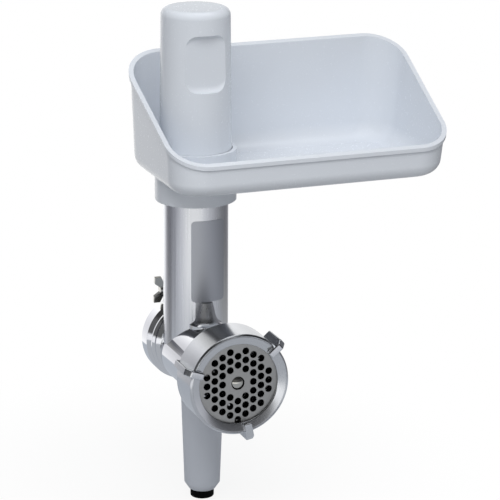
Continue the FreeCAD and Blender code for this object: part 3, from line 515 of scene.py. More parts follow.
# %% The pusher
PUSHER_TOP, STEM_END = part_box("pusher")[1].z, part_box("pusher")[0].z
PUSHER_SEAT = 127 * MM
HANDLE_TOP, HANDLE_FOOT, CROWN = 22.4 * MM, 23.4 * MM, 5 * MM
STEM_OUT, STEM_IN, HOLLOW_TOP = 17.7 * MM, 15.2 * MM, 165 * MM
pusher = turn("pusher_piece", ALONG_Z, TUBE_CENTRE, [
    (PUSHER_TOP, 0), *arc(PUSHER_TOP - CROWN, HANDLE_TOP - CROWN, CROWN, 90, 0),
    (PUSHER_SEAT, HANDLE_FOOT), (PUSHER_SEAT, STEM_OUT), (STEM_END, STEM_OUT), (STEM_END, STEM_IN),
    (HOLLOW_TOP, STEM_IN), (HOLLOW_TOP, 0)])
GRIP_LOW, GRIP_HIGH, GRIP_WIDTH, GRIP_FLAT = 175.3 * MM, 212.3 * MM, 36 * MM, 18.2 * MM
GRIP_CORNER, GRIP_SOFT, CORNER_STEPS, SOFT_STEPS = 12 * MM, 4 * MM, 10, 6
for face in (-1, 1):
    grip_centre = (TUBE_CENTRE + ALONG_Y * face * (GRIP_FLAT + HANDLE_FOOT / 2)
                   + ALONG_Z * (GRIP_HIGH + GRIP_LOW) / 2)
    grip = block("grip", (GRIP_WIDTH, HANDLE_FOOT, GRIP_HIGH - GRIP_LOW), grip_centre)
    pick(grip, "EDGE", lambda edge: abs(edge.verts[0].co.y - edge.verts[1].co.y) > GRIP_CORNER)
    bpy.ops.mesh.bevel(offset=GRIP_CORNER, segments=CORNER_STEPS, affect="EDGES")
    floor_y = TUBE_CENTRE.y + face * GRIP_FLAT
    pick(grip, "EDGE", lambda edge: all(abs(vertex.co.y - floor_y) < SMALL for vertex in edge.verts))
    bpy.ops.mesh.bevel(offset=GRIP_SOFT, segments=SOFT_STEPS, affect="EDGES")
    bpy.ops.object.mode_set(mode="OBJECT")
    carve(pusher, grip)
finish_piece(pusher, "pusher", grey_abs, ["pusher"], edge_round=0.7 * MM)

# %% [markdown]
# The ring nut holds the perforated plate. Its cap is turned, with a slightly dished face, a fine
# groove round it and a softened inner edge. Each of its three lugs is a bent strip: a block lies
# across the rim, a bisect splits its back, and the upper half is extruded to the rear along the
# ring's side. One lug is modelled and copied twice, each copy turned to its place.

# %% The ring nut
ORIGIN = Vector((0, 0, 0))
RING_FRONT, RING_REAR = -111.1 * MM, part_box("ring_nut")[1].y
RING_OUT, RING_IN, LIP_BORE, LIP_BACK = 33.25 * MM, 30.7 * MM, 26.35 * MM, -108.1 * MM
RING_CHAMFER, RING_DISH = 1.0 * MM, 1.3 * MM
GROOVE_OUT, GROOVE_DEEP, GROOVE_WIDE = 31.9 * MM, 0.45 * MM, 0.5 * MM
ring_nut = turn("ring_nut_piece", ALONG_Y, ORIGIN, [
    (RING_FRONT + RING_DISH + RING_CHAMFER / 2, LIP_BORE),
    (RING_FRONT + RING_DISH, LIP_BORE + RING_CHAMFER / 2),
    (RING_FRONT, GROOVE_OUT - GROOVE_WIDE), (RING_FRONT + GROOVE_DEEP, GROOVE_OUT - GROOVE_WIDE),
    (RING_FRONT + GROOVE_DEEP, GROOVE_OUT), (RING_FRONT, GROOVE_OUT),
    (RING_FRONT, RING_OUT - RING_CHAMFER), (RING_FRONT + RING_CHAMFER, RING_OUT),
    (RING_REAR, RING_OUT), (RING_REAR, RING_IN), (LIP_BACK, RING_IN), (LIP_BACK, LIP_BORE),
    (RING_FRONT + RING_DISH + RING_CHAMFER / 2, LIP_BORE)])

LUG_FRONT, LUG_REAR, LUG_TOP, LUG_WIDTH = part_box("ring_nut")[0].y, -90.6 * MM, 38.8 * MM, 4.8 * MM
LUG_SINK, LUG_SLOPE, LUG_EDGE, RING_EDGE = 1.0 * MM, 3.2 * MM, 0.8 * MM, 0.25 * MM
LUG_TURNS = [math.radians(degrees) for degrees in (41, 161, 281)]
lug = block("lug", (LUG_WIDTH, RING_FRONT + LUG_SINK - LUG_FRONT, LUG_TOP - LIP_BORE),
            (0, (RING_FRONT + LUG_SINK + LUG_FRONT) / 2, (LUG_TOP + LIP_BORE) / 2))
bpy.ops.mesh.select_all(action="SELECT")
bpy.ops.mesh.bisect(plane_co=(0, 0, RING_OUT - LUG_SINK), plane_no=(0, 0, 1))
pick(lug, "FACE", lambda face: face.normal.y > 0.5 and face.calc_center_median().z > RING_OUT)
bpy.ops.mesh.extrude_region_move(TRANSFORM_OT_translate={"value": (0, LUG_REAR - RING_FRONT - LUG_SINK, 0)})
pick(lug, "EDGE", lambda edge: all(
    abs(vertex.co.y - LUG_FRONT) < SMALL and abs(vertex.co.z - LUG_TOP) < SMALL for vertex in edge.verts))
bpy.ops.transform.translate(value=(0, 0, -LUG_SLOPE))
bpy.ops.object.mode_set(mode="OBJECT")
lugs = []
for lug_turn in LUG_TURNS:
    copy = bpy.data.objects.new("lug_copy", lug.data.copy())
    bpy.context.scene.collection.objects.link(copy)
    copy.rotation_euler.y = math.pi / 2 - lug_turn
    lugs.append(copy)
bpy.data.objects.remove(lug)
for copy in lugs:
    select_only(copy)
    bpy.ops.object.transform_apply(location=False, rotation=True, scale=False)
    apply_modifier(copy, "BEVEL", width=LUG_EDGE, segments=4, limit_method="ANGLE", angle_limit=SMOOTH_ANGLE)
apply_modifier(ring_nut, "BEVEL", width=RING_EDGE, segments=2, limit_method="ANGLE", angle_limit=SMOOTH_ANGLE)
join(ring_nut, *lugs)
finish_piece(ring_nut, "ring_nut", turned_aluminium, ["ring_nut"], edge_round=0)

# %% [markdown]
# The leg is a plain tapered moulding with a sharp bevel at its end, and a rubber foot is plugged
# into it. A cone primitive could be tapered to the same shape, but both are round inside too, so
# they are turned from one outline each.

# %% Leg and foot
LEG_CENTRE = Vector((0, -40.8 * MM, 0))
LEG_TOP, LEG_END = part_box("leg")[1].z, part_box("leg")[0].z
LEG_TOP_OUT, LEG_END_OUT, LEG_BEVEL, LEG_BEVEL_HIGH = 13.95 * MM, 11.8 * MM, 3.2 * MM, 4.8 * MM
FOOT_OUT, FOOT_END = 7.8 * MM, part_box("leg_foot")[0].z
FOOT_PLUG, FOOT_FIT, FOOT_ROUND, STUD_HOLE = 12 * MM, 0.02 * MM, 1.2 * MM, 4.02 * MM
LEG_HOLLOW = 3 * FOOT_PLUG
leg = turn("leg_piece", ALONG_Z, LEG_CENTRE, [
    (LEG_TOP, STUD_HOLE), (LEG_TOP, LEG_TOP_OUT), (LEG_END + LEG_BEVEL_HIGH, LEG_END_OUT),
    (LEG_END, LEG_END_OUT - LEG_BEVEL), (LEG_END, FOOT_OUT + FOOT_FIT),
    (LEG_END + LEG_HOLLOW, FOOT_OUT + FOOT_FIT), (LEG_END + LEG_HOLLOW, STUD_HOLE), (LEG_TOP, STUD_HOLE)])
finish_piece(leg, "leg", leg_plastic, ["leg"], edge_round=0.5 * MM)
foot = turn("leg_foot_piece", ALONG_Z, LEG_CENTRE, [
    (FOOT_END, 0), *arc(FOOT_END + FOOT_ROUND, FOOT_OUT - FOOT_ROUND, FOOT_ROUND, -90, 0),
    (LEG_END + FOOT_PLUG, FOOT_OUT), (LEG_END + FOOT_PLUG, 0)])
finish_piece(foot, "leg", rubber, ["leg_foot"], edge_round=0)

# %% [markdown]
# A bare metal foil is stuck to the front of the tube. A straight edge is spun through part of a
# turn, which gives a curved sheet, and a Solidify modifier gives it its thickness. A block with
# rounded edges then punches it out, as a die does on the real one, which rounds its corners.

# %% The foil
FOIL_LOW, FOIL_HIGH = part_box("label_plate")[0].z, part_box("label_plate")[1].z
FOIL_IN, FOIL_THICK, FOIL_CORNER = 21.22 * MM, 0.25 * MM, 2.5 * MM
FOIL_SPAN, FOIL_TURN, FOIL_STEPS = math.radians(66), math.radians(5.5), 22
FOIL_FIRST = FOIL_TURN - math.pi / 2 - FOIL_SPAN / 2
foil_start = TUBE_CENTRE + FOIL_IN * Vector((math.cos(FOIL_FIRST), math.sin(FOIL_FIRST), 0))
foil_edge = [foil_start + ALONG_Z * FOIL_LOW, foil_start + ALONG_Z * FOIL_HIGH]
label = sweep("label_plate_piece", foil_edge, FOIL_STEPS, FOIL_SPAN, TUBE_CENTRE, (0, 0, -1))
apply_modifier(label, "SOLIDIFY", thickness=FOIL_THICK, offset=1)
punch = block("punch", (2 * FOIL_IN * math.sin(FOIL_SPAN / 2), FOIL_IN, FOIL_HIGH - FOIL_LOW),
              (0, -FOIL_IN, (FOIL_HIGH + FOIL_LOW) / 2))
pick(punch, "EDGE", lambda edge: abs(edge.verts[0].co.y - edge.verts[1].co.y) > FOIL_CORNER)
bpy.ops.mesh.bevel(offset=FOIL_CORNER, segments=6, affect="EDGES")
bpy.ops.object.mode_set(mode="OBJECT")
punch.location, punch.rotation_euler.z = TUBE_CENTRE, FOIL_TURN
carve(label, punch, "INTERSECT")
finish_piece(label, "housing", foil, ["label_plate"], edge_round=0)

# %% [markdown]
# The housing is one casting: a turned barrel with a wider head and a fuller belly, the feed tube
# standing on it, a short rib in front of the tube that widens softly at its foot, and a boss for
# the leg. A casting could be drawn as one skin, but its parts are plain round shapes, so they are
# turned one by one and united.

# %% The housing's outside
BARREL_FRONT, TUBE_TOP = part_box("grinder_housing")[0].y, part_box("grinder_housing")[1].z
WEB_REAR, FLARE_START, FLARE_END = -13 * MM, -79.5 * MM, -85.5 * MM
BARREL_OUT, BARREL_IN, HEAD_OUT = 21.4 * MM, 19.3 * MM, 30.4 * MM
TUBE_OUT, MOUTH_OUT, MOUTH_LOW = 21.2 * MM, 23.5 * MM, 112 * MM
RIB_CENTRE = Vector((0, -46.8 * MM, 0))
RIB_SIDE = [(height * MM, radius * MM) for height, radius in (
    (36, 4.8), (27, 6.7), (24.2, 7.8), (22.6, 9.2), (21.6, 10.8))]
RIB_TOP, RIB_FOOT = RIB_SIDE[0][0], RIB_SIDE[-1][1]
BELLY_CENTRE, BELLY_OUT, BELLY_REAR = Vector((0, 0, -4 * MM)), 22.6 * MM, -22.6 * MM
BOSS_OUT, BOSS_END = 13 * MM, -29 * MM

housing = turn("grinder_housing_piece", ALONG_Y, ORIGIN, [
    (WEB_REAR, 0), (WEB_REAR, BARREL_OUT), (FLARE_START, BARREL_OUT), (FLARE_END, HEAD_OUT),
    (BARREL_FRONT, HEAD_OUT), (BARREL_FRONT, 0)])
tube = turn("tube", ALONG_Z, TUBE_CENTRE, [
    (0, 0), (0, TUBE_OUT), (MOUTH_LOW, TUBE_OUT), (MOUTH_LOW, MOUTH_OUT),
    (TUBE_TOP, MOUTH_OUT), (TUBE_TOP, 0)])
rib = turn("rib", ALONG_Z, RIB_CENTRE, [(RIB_TOP, 0), *RIB_SIDE, (BARREL_IN, RIB_FOOT), (BARREL_IN, 0)])
boss = turn("boss", ALONG_Z, LEG_CENTRE, [(BOSS_END, 0), (BOSS_END, BOSS_OUT), (0, BOSS_OUT), (0, 0)])
belly = turn("belly", ALONG_Y, BELLY_CENTRE, [
    (BELLY_REAR, 0), (BELLY_REAR, BELLY_OUT), (FLARE_END, BELLY_OUT), (FLARE_END, 0)])
for part in (belly, tube, rib, boss):
    carve(housing, part, "UNION")
print("housing's outside has", len(housing.data.polygons), "faces")

# %% [markdown]
# The inside is bored out as the real one is on the lathe: the worm's space with its wider chamber
# in front, the collar's seat behind, the stud's hole in the boss and the passage down the tube.
# The passage ends on a slope above the collar, so its tool gets one too. Each tool overshoots the
# open end that it comes from, so that no skin is left there.

# %% The housing's inside
OVERCUT = 5 * MM
WEB_FRONT, CHAMBER, CHAMBER_REAR, TUBE_IN = -21 * MM, 28.2 * MM, -95.5 * MM, 18.3 * MM
COLLAR_FRONT, COLLAR_OUT, COLLAR_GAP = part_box("drive_collar")[0].y, 28.2 * MM, 0.3 * MM
BUSH_OUT, SEAL_OUT, SEAL_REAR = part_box("rear_bush")[1].x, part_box("shaft_seal")[1].x, -18 * MM
RAMP_SKIN = 3 * MM
RAMP_FOOT, RAMP_WALL = COLLAR_FRONT - COLLAR_GAP - RAMP_SKIN, COLLAR_OUT + COLLAR_GAP + RAMP_SKIN
STUD_OUT, STUD_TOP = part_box("leg_stud")[1].x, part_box("leg_stud")[1].z

worm_space = turn("worm_space", ALONG_Y, ORIGIN, [
    (WEB_REAR + OVERCUT, 0), (WEB_REAR + OVERCUT, BUSH_OUT), (SEAL_REAR, BUSH_OUT), (SEAL_REAR, SEAL_OUT),
    (WEB_FRONT, SEAL_OUT), (WEB_FRONT, BARREL_IN), (CHAMBER_REAR, BARREL_IN), (CHAMBER_REAR, CHAMBER),
    (BARREL_FRONT - OVERCUT, CHAMBER), (BARREL_FRONT - OVERCUT, 0)])
collar_space = turn("collar_space", ALONG_Y, ORIGIN, [
    (OVERCUT, 0), (OVERCUT, COLLAR_OUT + COLLAR_GAP), (COLLAR_FRONT - COLLAR_GAP, COLLAR_OUT + COLLAR_GAP),
    (COLLAR_FRONT - COLLAR_GAP, BARREL_OUT), (WEB_REAR, BARREL_OUT), (WEB_REAR, 0)])
stud_hole = turn("stud_hole", ALONG_Z, LEG_CENTRE, [
    (BOSS_END - OVERCUT, 0), (BOSS_END - OVERCUT, STUD_OUT), (STUD_TOP, STUD_OUT), (STUD_TOP, 0)])
passage = turn("passage", ALONG_Z, TUBE_CENTRE, [
    (0, 0), (0, TUBE_IN), (TUBE_TOP + OVERCUT, TUBE_IN), (TUBE_TOP + OVERCUT, 0)])
ramp = block("ramp", (2 * MOUTH_OUT, OVERCUT - RAMP_FOOT, RAMP_WALL + OVERCUT),
             (0, (OVERCUT + RAMP_FOOT) / 2, (RAMP_WALL - OVERCUT) / 2))
pick(ramp, "VERT", lambda vertex: vertex.co.z > 0 and vertex.co.y > 0)
bpy.ops.transform.translate(value=ALONG_Z * (OVERCUT - RAMP_FOOT))
bpy.ops.object.mode_set(mode="OBJECT")
carve(passage, ramp)
for tool in (worm_space, collar_space, stud_hole, passage):
    carve(housing, tool)
finish_piece(housing, "housing", brushed_aluminium, ["grinder_housing"],
             edge_round=0.35 * MM)

# %% [markdown]
# The drive collar is a turned ring with a wide flange, a bead and a narrower nose. The steep cones
# between them give the polished ring its dark and bright bands. Two pinch lugs stand on it with a
# slit between them: a block is united with the ring, and two tools cut the slit and the screw's
# hole.

# %% The drive collar
FLANGE_FRONT, COLLAR_EDGE, DRIVE_BORE = -10.6 * MM, 0.9 * MM, 20 * MM
PINCH_WIDE, PINCH_DEEP, PINCH_LOW, PINCH_SLIT = 20 * MM, 6.6 * MM, 23 * MM, 1.6 * MM
PINCH_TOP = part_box("drive_collar")[1].z
SCREW_CENTRE, SCREW_HOLE = Vector((0, -3.3 * MM, 33.4 * MM)), 2.15 * MM
NECK_REAR, BEAD_REAR, BEAD_FRONT, NOSE_REAR, NOSE_FRONT = (
    value * MM for value in (-12.9, -15.2, -16.6, -17.9, -20))
NECK_OUT, BEAD_OUT, NOSE_OUT, NOSE_TIP = 25.4 * MM, 26.6 * MM, 25 * MM, 22.4 * MM
collar = turn("drive_collar_piece", ALONG_Y, ORIGIN, [
    (0, DRIVE_BORE), (0, COLLAR_OUT - COLLAR_EDGE), (-COLLAR_EDGE, COLLAR_OUT), (FLANGE_FRONT, COLLAR_OUT),
    (NECK_REAR, NECK_OUT), (BEAD_REAR, NECK_OUT), (BEAD_REAR, BEAD_OUT), (BEAD_FRONT, BEAD_OUT),
    (NOSE_REAR, NOSE_OUT), (NOSE_FRONT, NOSE_OUT), (COLLAR_FRONT, NOSE_TIP),
    (COLLAR_FRONT, BARREL_OUT), (WEB_REAR, BARREL_OUT), (WEB_REAR, DRIVE_BORE), (0, DRIVE_BORE)])
lugs_block = block("lugs_block", (PINCH_WIDE, PINCH_DEEP, PINCH_TOP - PINCH_LOW),
                   (0, -PINCH_DEEP / 2, (PINCH_TOP + PINCH_LOW) / 2))
bpy.ops.object.mode_set(mode="OBJECT")
carve(collar, lugs_block, "UNION")
slit = block("slit", (PINCH_SLIT, 2 * OVERCUT - WEB_REAR, PINCH_TOP),
             (0, WEB_REAR / 2, PINCH_TOP / 2 + DRIVE_BORE / 2))
bpy.ops.object.mode_set(mode="OBJECT")
screw_hole = turn("screw_hole", ALONG_X, SCREW_CENTRE, [
    (-PINCH_WIDE, 0), (-PINCH_WIDE, SCREW_HOLE), (PINCH_WIDE, SCREW_HOLE), (PINCH_WIDE, 0)])
for tool in (slit, screw_hole):
    carve(collar, tool)
finish_piece(collar, "housing", polished_aluminium, ["drive_collar"],
             edge_round=0.35 * MM)

# %% [markdown]
# The front stud's domed end looks out of the middle of the plate. Its root sits in the worm, and a
# square carries the knife. The round parts are turned in one outline that ends in the dome's arc,
# and the square is a block united with them.

# %% The front stud
STUD_ROOT, STUD_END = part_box("front_stud")[1].y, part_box("front_stud")[0].y
KNIFE_REAR, KNIFE_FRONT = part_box("knife")[1].y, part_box("knife")[0].y
ROOT_OUT, SQUARE, PILOT_OUT, DOME_HIGH, DOME_STEPS = 5 * MM, 9 * MM, 4.3 * MM, 1.9 * MM, 8
dome_radius = (PILOT_OUT ** 2 + DOME_HIGH ** 2) / (2 * DOME_HIGH)
dome_angle = math.degrees(math.asin(PILOT_OUT / dome_radius))
dome = [(STUD_END + dome_radius + along, radius) for along, radius in
        arc(0, 0, dome_radius, -90 + dome_angle, -90, DOME_STEPS)]
front_stud = turn("front_stud_piece", ALONG_Y, ORIGIN, [
    (STUD_ROOT, 0), (STUD_ROOT, ROOT_OUT), (KNIFE_REAR, ROOT_OUT), (KNIFE_REAR, PILOT_OUT), *dome])
square = block("square", (SQUARE, KNIFE_REAR - KNIFE_FRONT, SQUARE),
               ALONG_Y * (KNIFE_REAR + KNIFE_FRONT) / 2)
bpy.ops.object.mode_set(mode="OBJECT")
carve(front_stud, square, "UNION")
finish_piece(front_stud, "worm", plain_steel, ["front_stud"], edge_round=0.15 * MM)

# %% [markdown]
# The plate and the wing screw keep the shapes of their solids. CAD edges are perfectly sharp, and
# nothing real is, so a copy of each solid is merged, its flat areas are dissolved to whole faces
# and its edges are rounded. Hardly any light reaches the walls of the plate's holes, so they get
# a near-black steel as painted shade; they are the same ground steel as the rest of the plate.

# %% Rounded copies of the solids
FLAT_ANGLE = math.radians(0.2)
PLATE_RIM = 26 * MM


def rounded_copy(node):
    """A merged copy of a CAD solid, with whole faces."""
    piece = bpy.data.objects.new(f"{node}_piece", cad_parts[node].data.copy())
    bpy.context.scene.collection.objects.link(piece)
    select_only(piece)
    bpy.ops.object.mode_set(mode="EDIT")
    bpy.ops.mesh.select_all(action="SELECT")
    bpy.ops.mesh.remove_doubles(threshold=SMALL / 5)
    bpy.ops.mesh.dissolve_limited(angle_limit=FLAT_ANGLE)
    bpy.ops.object.mode_set(mode="OBJECT")
    return piece


plate = rounded_copy("perforated_plate")
finish_piece(plate, "plate", ground_steel, ["perforated_plate"],
             edge_round=0.12 * MM, segments=1)
# The hole walls get the near-black steel: painted shade where little light gets in.
plate.data.materials.append(painted_shade_steel)
for face in plate.data.polygons:
    if abs(face.normal.y) < 0.5 and math.hypot(face.center.x, face.center.z) < PLATE_RIM:
        face.material_index = 1
wing_screw = rounded_copy("wing_screw")
finish_piece(wing_screw, "wing_screw", plain_steel, ["wing_screw"], edge_round=0.5 * MM)

# %% [markdown]
# The pieces inside are hardly seen, so they keep the meshes of their solids and only get a finish.
# Remodelling them would add nothing to the picture. The knife is plain steel, but it gets the
# near-black steel as painted shade, since little light reaches it behind the plate.
# Remodelling them would add nothing to the picture.

# %% Finishes for the rest of the solids
INSIDE_FINISHES = {
    "collar_dowel": plain_steel, "rear_bush": bronze, "shaft_seal": rubber, "plate_key": plain_steel,
    "worm": polished_aluminium, "drive_socket": plain_steel, "drive_pin": plain_steel,
    # the knife is plain steel; its near-black steel is painted shade
    "thrust_washer": acetal, "knife": painted_shade_steel, "pusher_plug": grey_abs, "leg_stud": plain_steel,
}
for node, material in INSIDE_FINISHES.items():
    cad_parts[node].data.materials.clear()
    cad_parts[node].data.materials.append(material)
print("finished", len(INSIDE_FINISHES), "solids as they are")

# %% [markdown]
# The barrel is polished, the tube and the rib are brushed. All three are one mesh, so the faces
# below the rib's top that lie on neither of the brushed ones take the polished finish.

# %% Two finishes on the housing
housing.data.materials.append(polished_aluminium)
TUBE_SKIN = 0.6 * MM
RIB_BRUSHED_LOW, RIB_BRUSHED_OUT = RIB_SIDE[3]
polished_faces = 0
for face in housing.data.polygons:
    on_tube = abs((face.center - TUBE_CENTRE).to_2d().length - TUBE_OUT) <= TUBE_SKIN
    from_rib = (face.center - RIB_CENTRE).to_2d().length
    on_rib = from_rib < RIB_BRUSHED_OUT and face.center.z > RIB_BRUSHED_LOW
    if face.center.z < RIB_TOP + SMALL and not on_tube and not on_rib:
        face.material_index = 1
        polished_faces += 1
print("polished", polished_faces, "of the housing's faces")

# %% [markdown]
# The object stands on white paper. Seen directly or in a mirror, the paper glows at strength 1,
# which is plain white, and only near the object does its own shading mix in, so that a soft shadow stays.
# For the light that it throws back it is a pale grey sheet.

# %% The floor
FLOOR_RADIUS = 5.0
SHADOW_REACH = 0.25
SHADOW_SHARE = 0.2

paper_level = cad_box[0].z
bpy.ops.object.select_all(action="DESELECT")
bpy.ops.mesh.primitive_circle_add(
    vertices=64, radius=FLOOR_RADIUS, fill_type="NGON", location=(0, 0, paper_level))
floor = bpy.context.object
floor.name = "floor"
bpy.ops.object.transform_apply(location=True)
white_paper, tree, output, place = new_material("white_paper")
light_path = add_node(tree, "ShaderNodeLightPath", {})
direct = add_node(tree, "ShaderNodeMath", {
    0: light_path.outputs["Is Camera Ray"], 1: light_path.outputs["Is Glossy Ray"]}, operation="MAXIMUM")
seen = add_node(tree, "ShaderNodeMath", {
    0: direct.outputs["Value"], 1: light_path.outputs["Is Transmission Ray"]}, operation="MAXIMUM")
from_object = add_node(tree, "ShaderNodeVectorMath", {0: place}, operation="LENGTH")
white_share = add_node(tree, "ShaderNodeMapRange", {
    "Value": from_object.outputs["Value"], "From Min": 0.0, "From Max": SHADOW_REACH,
    "To Min": 1 - SHADOW_SHARE, "To Max": 1.0}, interpolation_type="SMOOTHSTEP")
share = add_node(tree, "ShaderNodeMath", {
    0: seen.outputs["Value"], 1: white_share.outputs["Result"]}, operation="MULTIPLY")
paper_colour = add_node(tree, "ShaderNodeMix", {
    "Factor": seen.outputs["Value"], "A": linear("#C4C4C4"), "B": linear("#F4F4F4")}, data_type="RGBA")
paper = add_node(tree, "ShaderNodeBsdfDiffuse", {"Color": paper_colour.outputs["Result"]})
glow = add_node(tree, "ShaderNodeEmission", {"Color": linear("#FFFFFF"), "Strength": 1.0})
paper_mix = add_node(tree, "ShaderNodeMixShader", {
    "Fac": share.outputs["Value"], 1: paper.outputs["BSDF"], 2: glow.outputs["Emission"]})
tree.links.new(paper_mix.outputs["Shader"], output.inputs["Surface"])
floor.data.materials.append(white_paper)
print("floor at", round(paper_level / MM, 1), "mm")

# %% [markdown]
# The camera looks down a little from the front left through a long lens, as product cameras do.
# Its place is worked out from a target, a turn about the object, a height angle and a distance.

# %% Camera
TARGET = Vector((33.10, -40.80, 65.98)) * MM
AZIMUTH, ELEVATION, ROLL = (math.radians(value) for value in (-20.844, 16.484, 0.325))
DISTANCE = 1763.52 * MM
LENS = 194.65

back = Vector((math.sin(AZIMUTH) * math.cos(ELEVATION), -math.cos(AZIMUTH) * math.cos(ELEVATION),
               math.sin(ELEVATION)))
right = Vector((math.cos(AZIMUTH), math.sin(AZIMUTH), 0))
up = back.cross(right)
across = right * math.cos(ROLL) + up * math.sin(ROLL)
upward = up * math.cos(ROLL) - right * math.sin(ROLL)
camera_data = bpy.data.cameras.new("photo_view")
camera_data.lens = LENS
camera = bpy.data.objects.new("photo_view", camera_data)
bpy.context.scene.collection.objects.link(camera)
camera_turn = Matrix((across, upward, back)).transposed().to_4x4()
camera.matrix_world = Matrix.Translation(TARGET + back * DISTANCE) @ camera_turn
bpy.context.scene.camera = camera
print("camera", round(DISTANCE, 2), "m from the object through a", LENS, "mm lens")

# %% [markdown]
# Polished metal shows its surroundings, so a studio gives it some. A tent that only glossy rays can
# see stands round the object. Its cloth is white in front and behind and dark at both sides, which
# gives the tube its dark edges. Above a low bright band its front is nearly black, which draws the
# dark crescent on the barrel, and its top is dim. A grey table lies in the middle. None of it
# changes the light on anything else.

# %% A reflection tent
TENT_RADIUS, TENT_HEIGHT, TENT_LIFT = 0.6, 1.3, 0.5 * MM
TENT_TONES = {  # by bearing in degrees, from the camera's direction to the right
    -180: "#FFFFFF", -142: "#FFFFFF", -133: "#DADADE", -122: "#808084", -110: "#585960", -88: "#7A7B82",
    -75: "#9C9DA4", -50: "#D0D1D7", -22: "#FFFFFF", 12: "#FFFFFF", 30: "#E1E2E6", 50: "#C2C3C9",
    76: "#96979C", 103: "#67686C", 124: "#5D5D61", 150: "#747478", 180: "#FFFFFF",
}
TENT_GLOW, DARK_FRONT_GLOW, TOP_SHARE = 1.28, 0.14, 0.34
FRONT_FADE, BAND_FADE, TOP_FADE = (-0.2, 0.1), (-0.04, 0.0), (0.26, 0.36)
GROUND_FADE, GROUND_TONE = (0.4, 0.58), (0.28, 0.08)
TABLE_REAR, TABLE_FRONT, TABLE_SOFT = (0.29, "#A4A9B1"), (0.43, "#A0A3A8"), 0.01

bpy.ops.object.select_all(action="DESELECT")
bpy.ops.mesh.primitive_circle_add(vertices=96, radius=TENT_RADIUS, fill_type="NGON",
                                  location=(0, TUBE_CENTRE.y, paper_level + TENT_LIFT))
tent = bpy.context.object
tent.name = "reflection_tent"
bpy.ops.object.transform_apply(location=True)
bpy.ops.object.mode_set(mode="EDIT")
bpy.ops.mesh.select_mode(type="EDGE")
bpy.ops.mesh.select_all(action="SELECT")
bpy.ops.mesh.extrude_edges_move(TRANSFORM_OT_translate={"value": (0, 0, TENT_HEIGHT)})
bpy.ops.object.mode_set(mode="OBJECT")
tent_cloth, tree, output, place = new_material("tent_cloth")
centred = add_node(tree, "ShaderNodeVectorMath", {0: place, 1: TUBE_CENTRE}, operation="SUBTRACT")
level = add_node(tree, "ShaderNodeVectorMath", {
    0: centred.outputs["Vector"], 1: (1, 1, 0)}, operation="MULTIPLY")
towards = add_node(tree, "ShaderNodeVectorMath", {
    0: level.outputs["Vector"], 1: (math.sin(AZIMUTH), -math.cos(AZIMUTH), 0)}, operation="DOT_PRODUCT")
rightwards = add_node(tree, "ShaderNodeVectorMath", {
    0: level.outputs["Vector"], 1: (math.cos(AZIMUTH), math.sin(AZIMUTH), 0)}, operation="DOT_PRODUCT")
bearing = add_node(tree, "ShaderNodeMath", {
    0: rightwards.outputs["Value"], 1: towards.outputs["Value"]}, operation="ARCTAN2")
around = add_node(tree, "ShaderNodeMapRange", {
    "Value": bearing.outputs["Value"], "From Min": -math.pi, "From Max": math.pi})
cloth = add_node(tree, "ShaderNodeValToRGB", {"Fac": around.outputs["Result"]})
for _ in range(len(TENT_TONES) - 2):
    cloth.color_ramp.elements.new(0.5)
for element, (degrees, tone) in zip(cloth.color_ramp.elements, TENT_TONES.items()):
    element.position = degrees / 360 + 0.5
    element.color = linear(tone)
height = add_node(tree, "ShaderNodeSeparateXYZ", {"Vector": place})
in_front = add_node(tree, "ShaderNodeMapRange", {
    "Value": towards.outputs["Value"], "From Min": FRONT_FADE[0], "From Max": FRONT_FADE[1]})
above = add_node(tree, "ShaderNodeMapRange", {
    "Value": height.outputs["Z"], "From Min": BAND_FADE[0], "From Max": BAND_FADE[1]})
dark_front = add_node(tree, "ShaderNodeMath", {
    0: in_front.outputs["Result"], 1: above.outputs["Result"]}, operation="MULTIPLY")
dark_share = add_node(tree, "ShaderNodeMapRange", {
    "Value": dark_front.outputs["Value"], "To Min": TENT_GLOW, "To Max": DARK_FRONT_GLOW})
upper = add_node(tree, "ShaderNodeMapRange", {
    "Value": height.outputs["Z"], "From Min": TOP_FADE[0], "From Max": TOP_FADE[1],
    "To Min": 1.0, "To Max": TOP_SHARE})
strength = add_node(tree, "ShaderNodeMath", {
    0: upper.outputs["Result"], 1: dark_share.outputs["Result"]}, operation="MULTIPLY")
reach = add_node(tree, "ShaderNodeVectorMath", {0: level.outputs["Vector"]}, operation="LENGTH")
near_grey = add_node(tree, "ShaderNodeMapRange", {
    "Value": reach.outputs["Value"], "From Min": GROUND_FADE[0], "From Max": GROUND_FADE[1],
    "To Min": GROUND_TONE[0], "To Max": GROUND_TONE[1]})
toned = add_node(tree, "ShaderNodeMix", {
    "Factor": 1.0, "A": cloth.outputs["Color"], "B": near_grey.outputs["Result"]},
    data_type="RGBA", blend_type="LIGHTEN")
table = add_node(tree, "ShaderNodeMix", {
    "Factor": in_front.outputs["Result"], "A": linear(TABLE_REAR[1]), "B": linear(TABLE_FRONT[1])},
    data_type="RGBA")
table_edge = add_node(tree, "ShaderNodeMapRange", {
    "Value": in_front.outputs["Result"], "To Min": TABLE_REAR[0], "To Max": TABLE_FRONT[0]})
past_edge = add_node(tree, "ShaderNodeMath", {
    0: reach.outputs["Value"], 1: table_edge.outputs["Result"]}, operation="SUBTRACT")
on_table = add_node(tree, "ShaderNodeMapRange", {
    "Value": past_edge.outputs["Value"], "From Min": -TABLE_SOFT, "From Max": TABLE_SOFT,
    "To Min": 1.0, "To Max": 0.0})
surroundings = add_node(tree, "ShaderNodeMix", {
    "Factor": on_table.outputs["Result"], "A": toned.outputs["Result"], "B": table.outputs["Result"]},
    data_type="RGBA")
tent_glow = add_node(tree, "ShaderNodeEmission", {
    "Color": surroundings.outputs["Result"], "Strength": strength.outputs["Value"]})
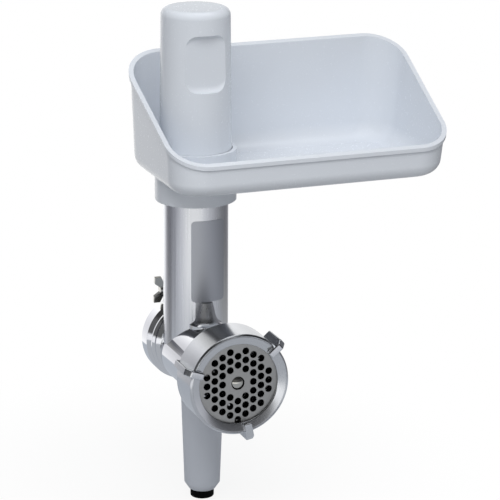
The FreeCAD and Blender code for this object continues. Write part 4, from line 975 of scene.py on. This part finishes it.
tree.links.new(tent_glow.outputs["Emission"], output.inputs["Surface"])
tent.data.materials.append(tent_cloth)
for kind in ("camera", "diffuse", "shadow", "transmission"):
    setattr(tent, f"visible_{kind}", False)
print("tent of", TENT_RADIUS, "m radius")

# %% [markdown]
# The light is plain and soft: a large sheet high in front, above the camera's view, which mirrors
# don't show, a weak sheet overhead, and a dim room. Their power is set so that a colour renders
# about as it is written. Seen directly or in a mirror, the room is nearly white.

# %% Light
ROOM_LIGHT, ROOM_SEEN = 0.38, 1.0
LAMPS = {  # place, width, watts, shown in mirrors
    "key": (Vector((-0.40, -1.02, 1.36)), 1.2, 16.6, False),
    "overhead": (Vector((0.45, 0.25, 1.45)), 1.0, 3.2, True),
}
LIT_POINT = Vector((0.04, -0.03, 0.08))

world = bpy.data.worlds.new("studio")
bpy.context.scene.world = world
world.use_nodes = True
room = world.node_tree.nodes["Background"]
room.inputs["Color"].default_value = linear("#F2F4F7")
ray = add_node(world.node_tree, "ShaderNodeLightPath", {})
seen = ray.outputs["Is Camera Ray"]
for kind in ("Is Glossy Ray", "Is Transmission Ray"):
    either = add_node(world.node_tree, "ShaderNodeMath", {0: seen, 1: ray.outputs[kind]}, operation="MAXIMUM")
    seen = either.outputs["Value"]
room_level = add_node(world.node_tree, "ShaderNodeMapRange", {
    "Value": seen, "To Min": ROOM_LIGHT, "To Max": ROOM_SEEN})
world.node_tree.links.new(room_level.outputs["Result"], room.inputs["Strength"])

for name, (place, width, power, mirrored) in LAMPS.items():
    lamp = bpy.data.lights.new(name, "AREA")
    lamp.size = width
    lamp.energy = power
    lamp_object = bpy.data.objects.new(name, lamp)
    bpy.context.scene.collection.objects.link(lamp_object)
    facing = (place - LIT_POINT).to_track_quat("Z", "Y").to_matrix().to_4x4()
    lamp_object.matrix_world = Matrix.Translation(place) @ facing
    lamp_object.visible_glossy = mirrored
    print(name, power, "W at", round((place - LIT_POINT).length, 2), "m")

bpy.context.scene.view_settings.view_transform = "Standard"
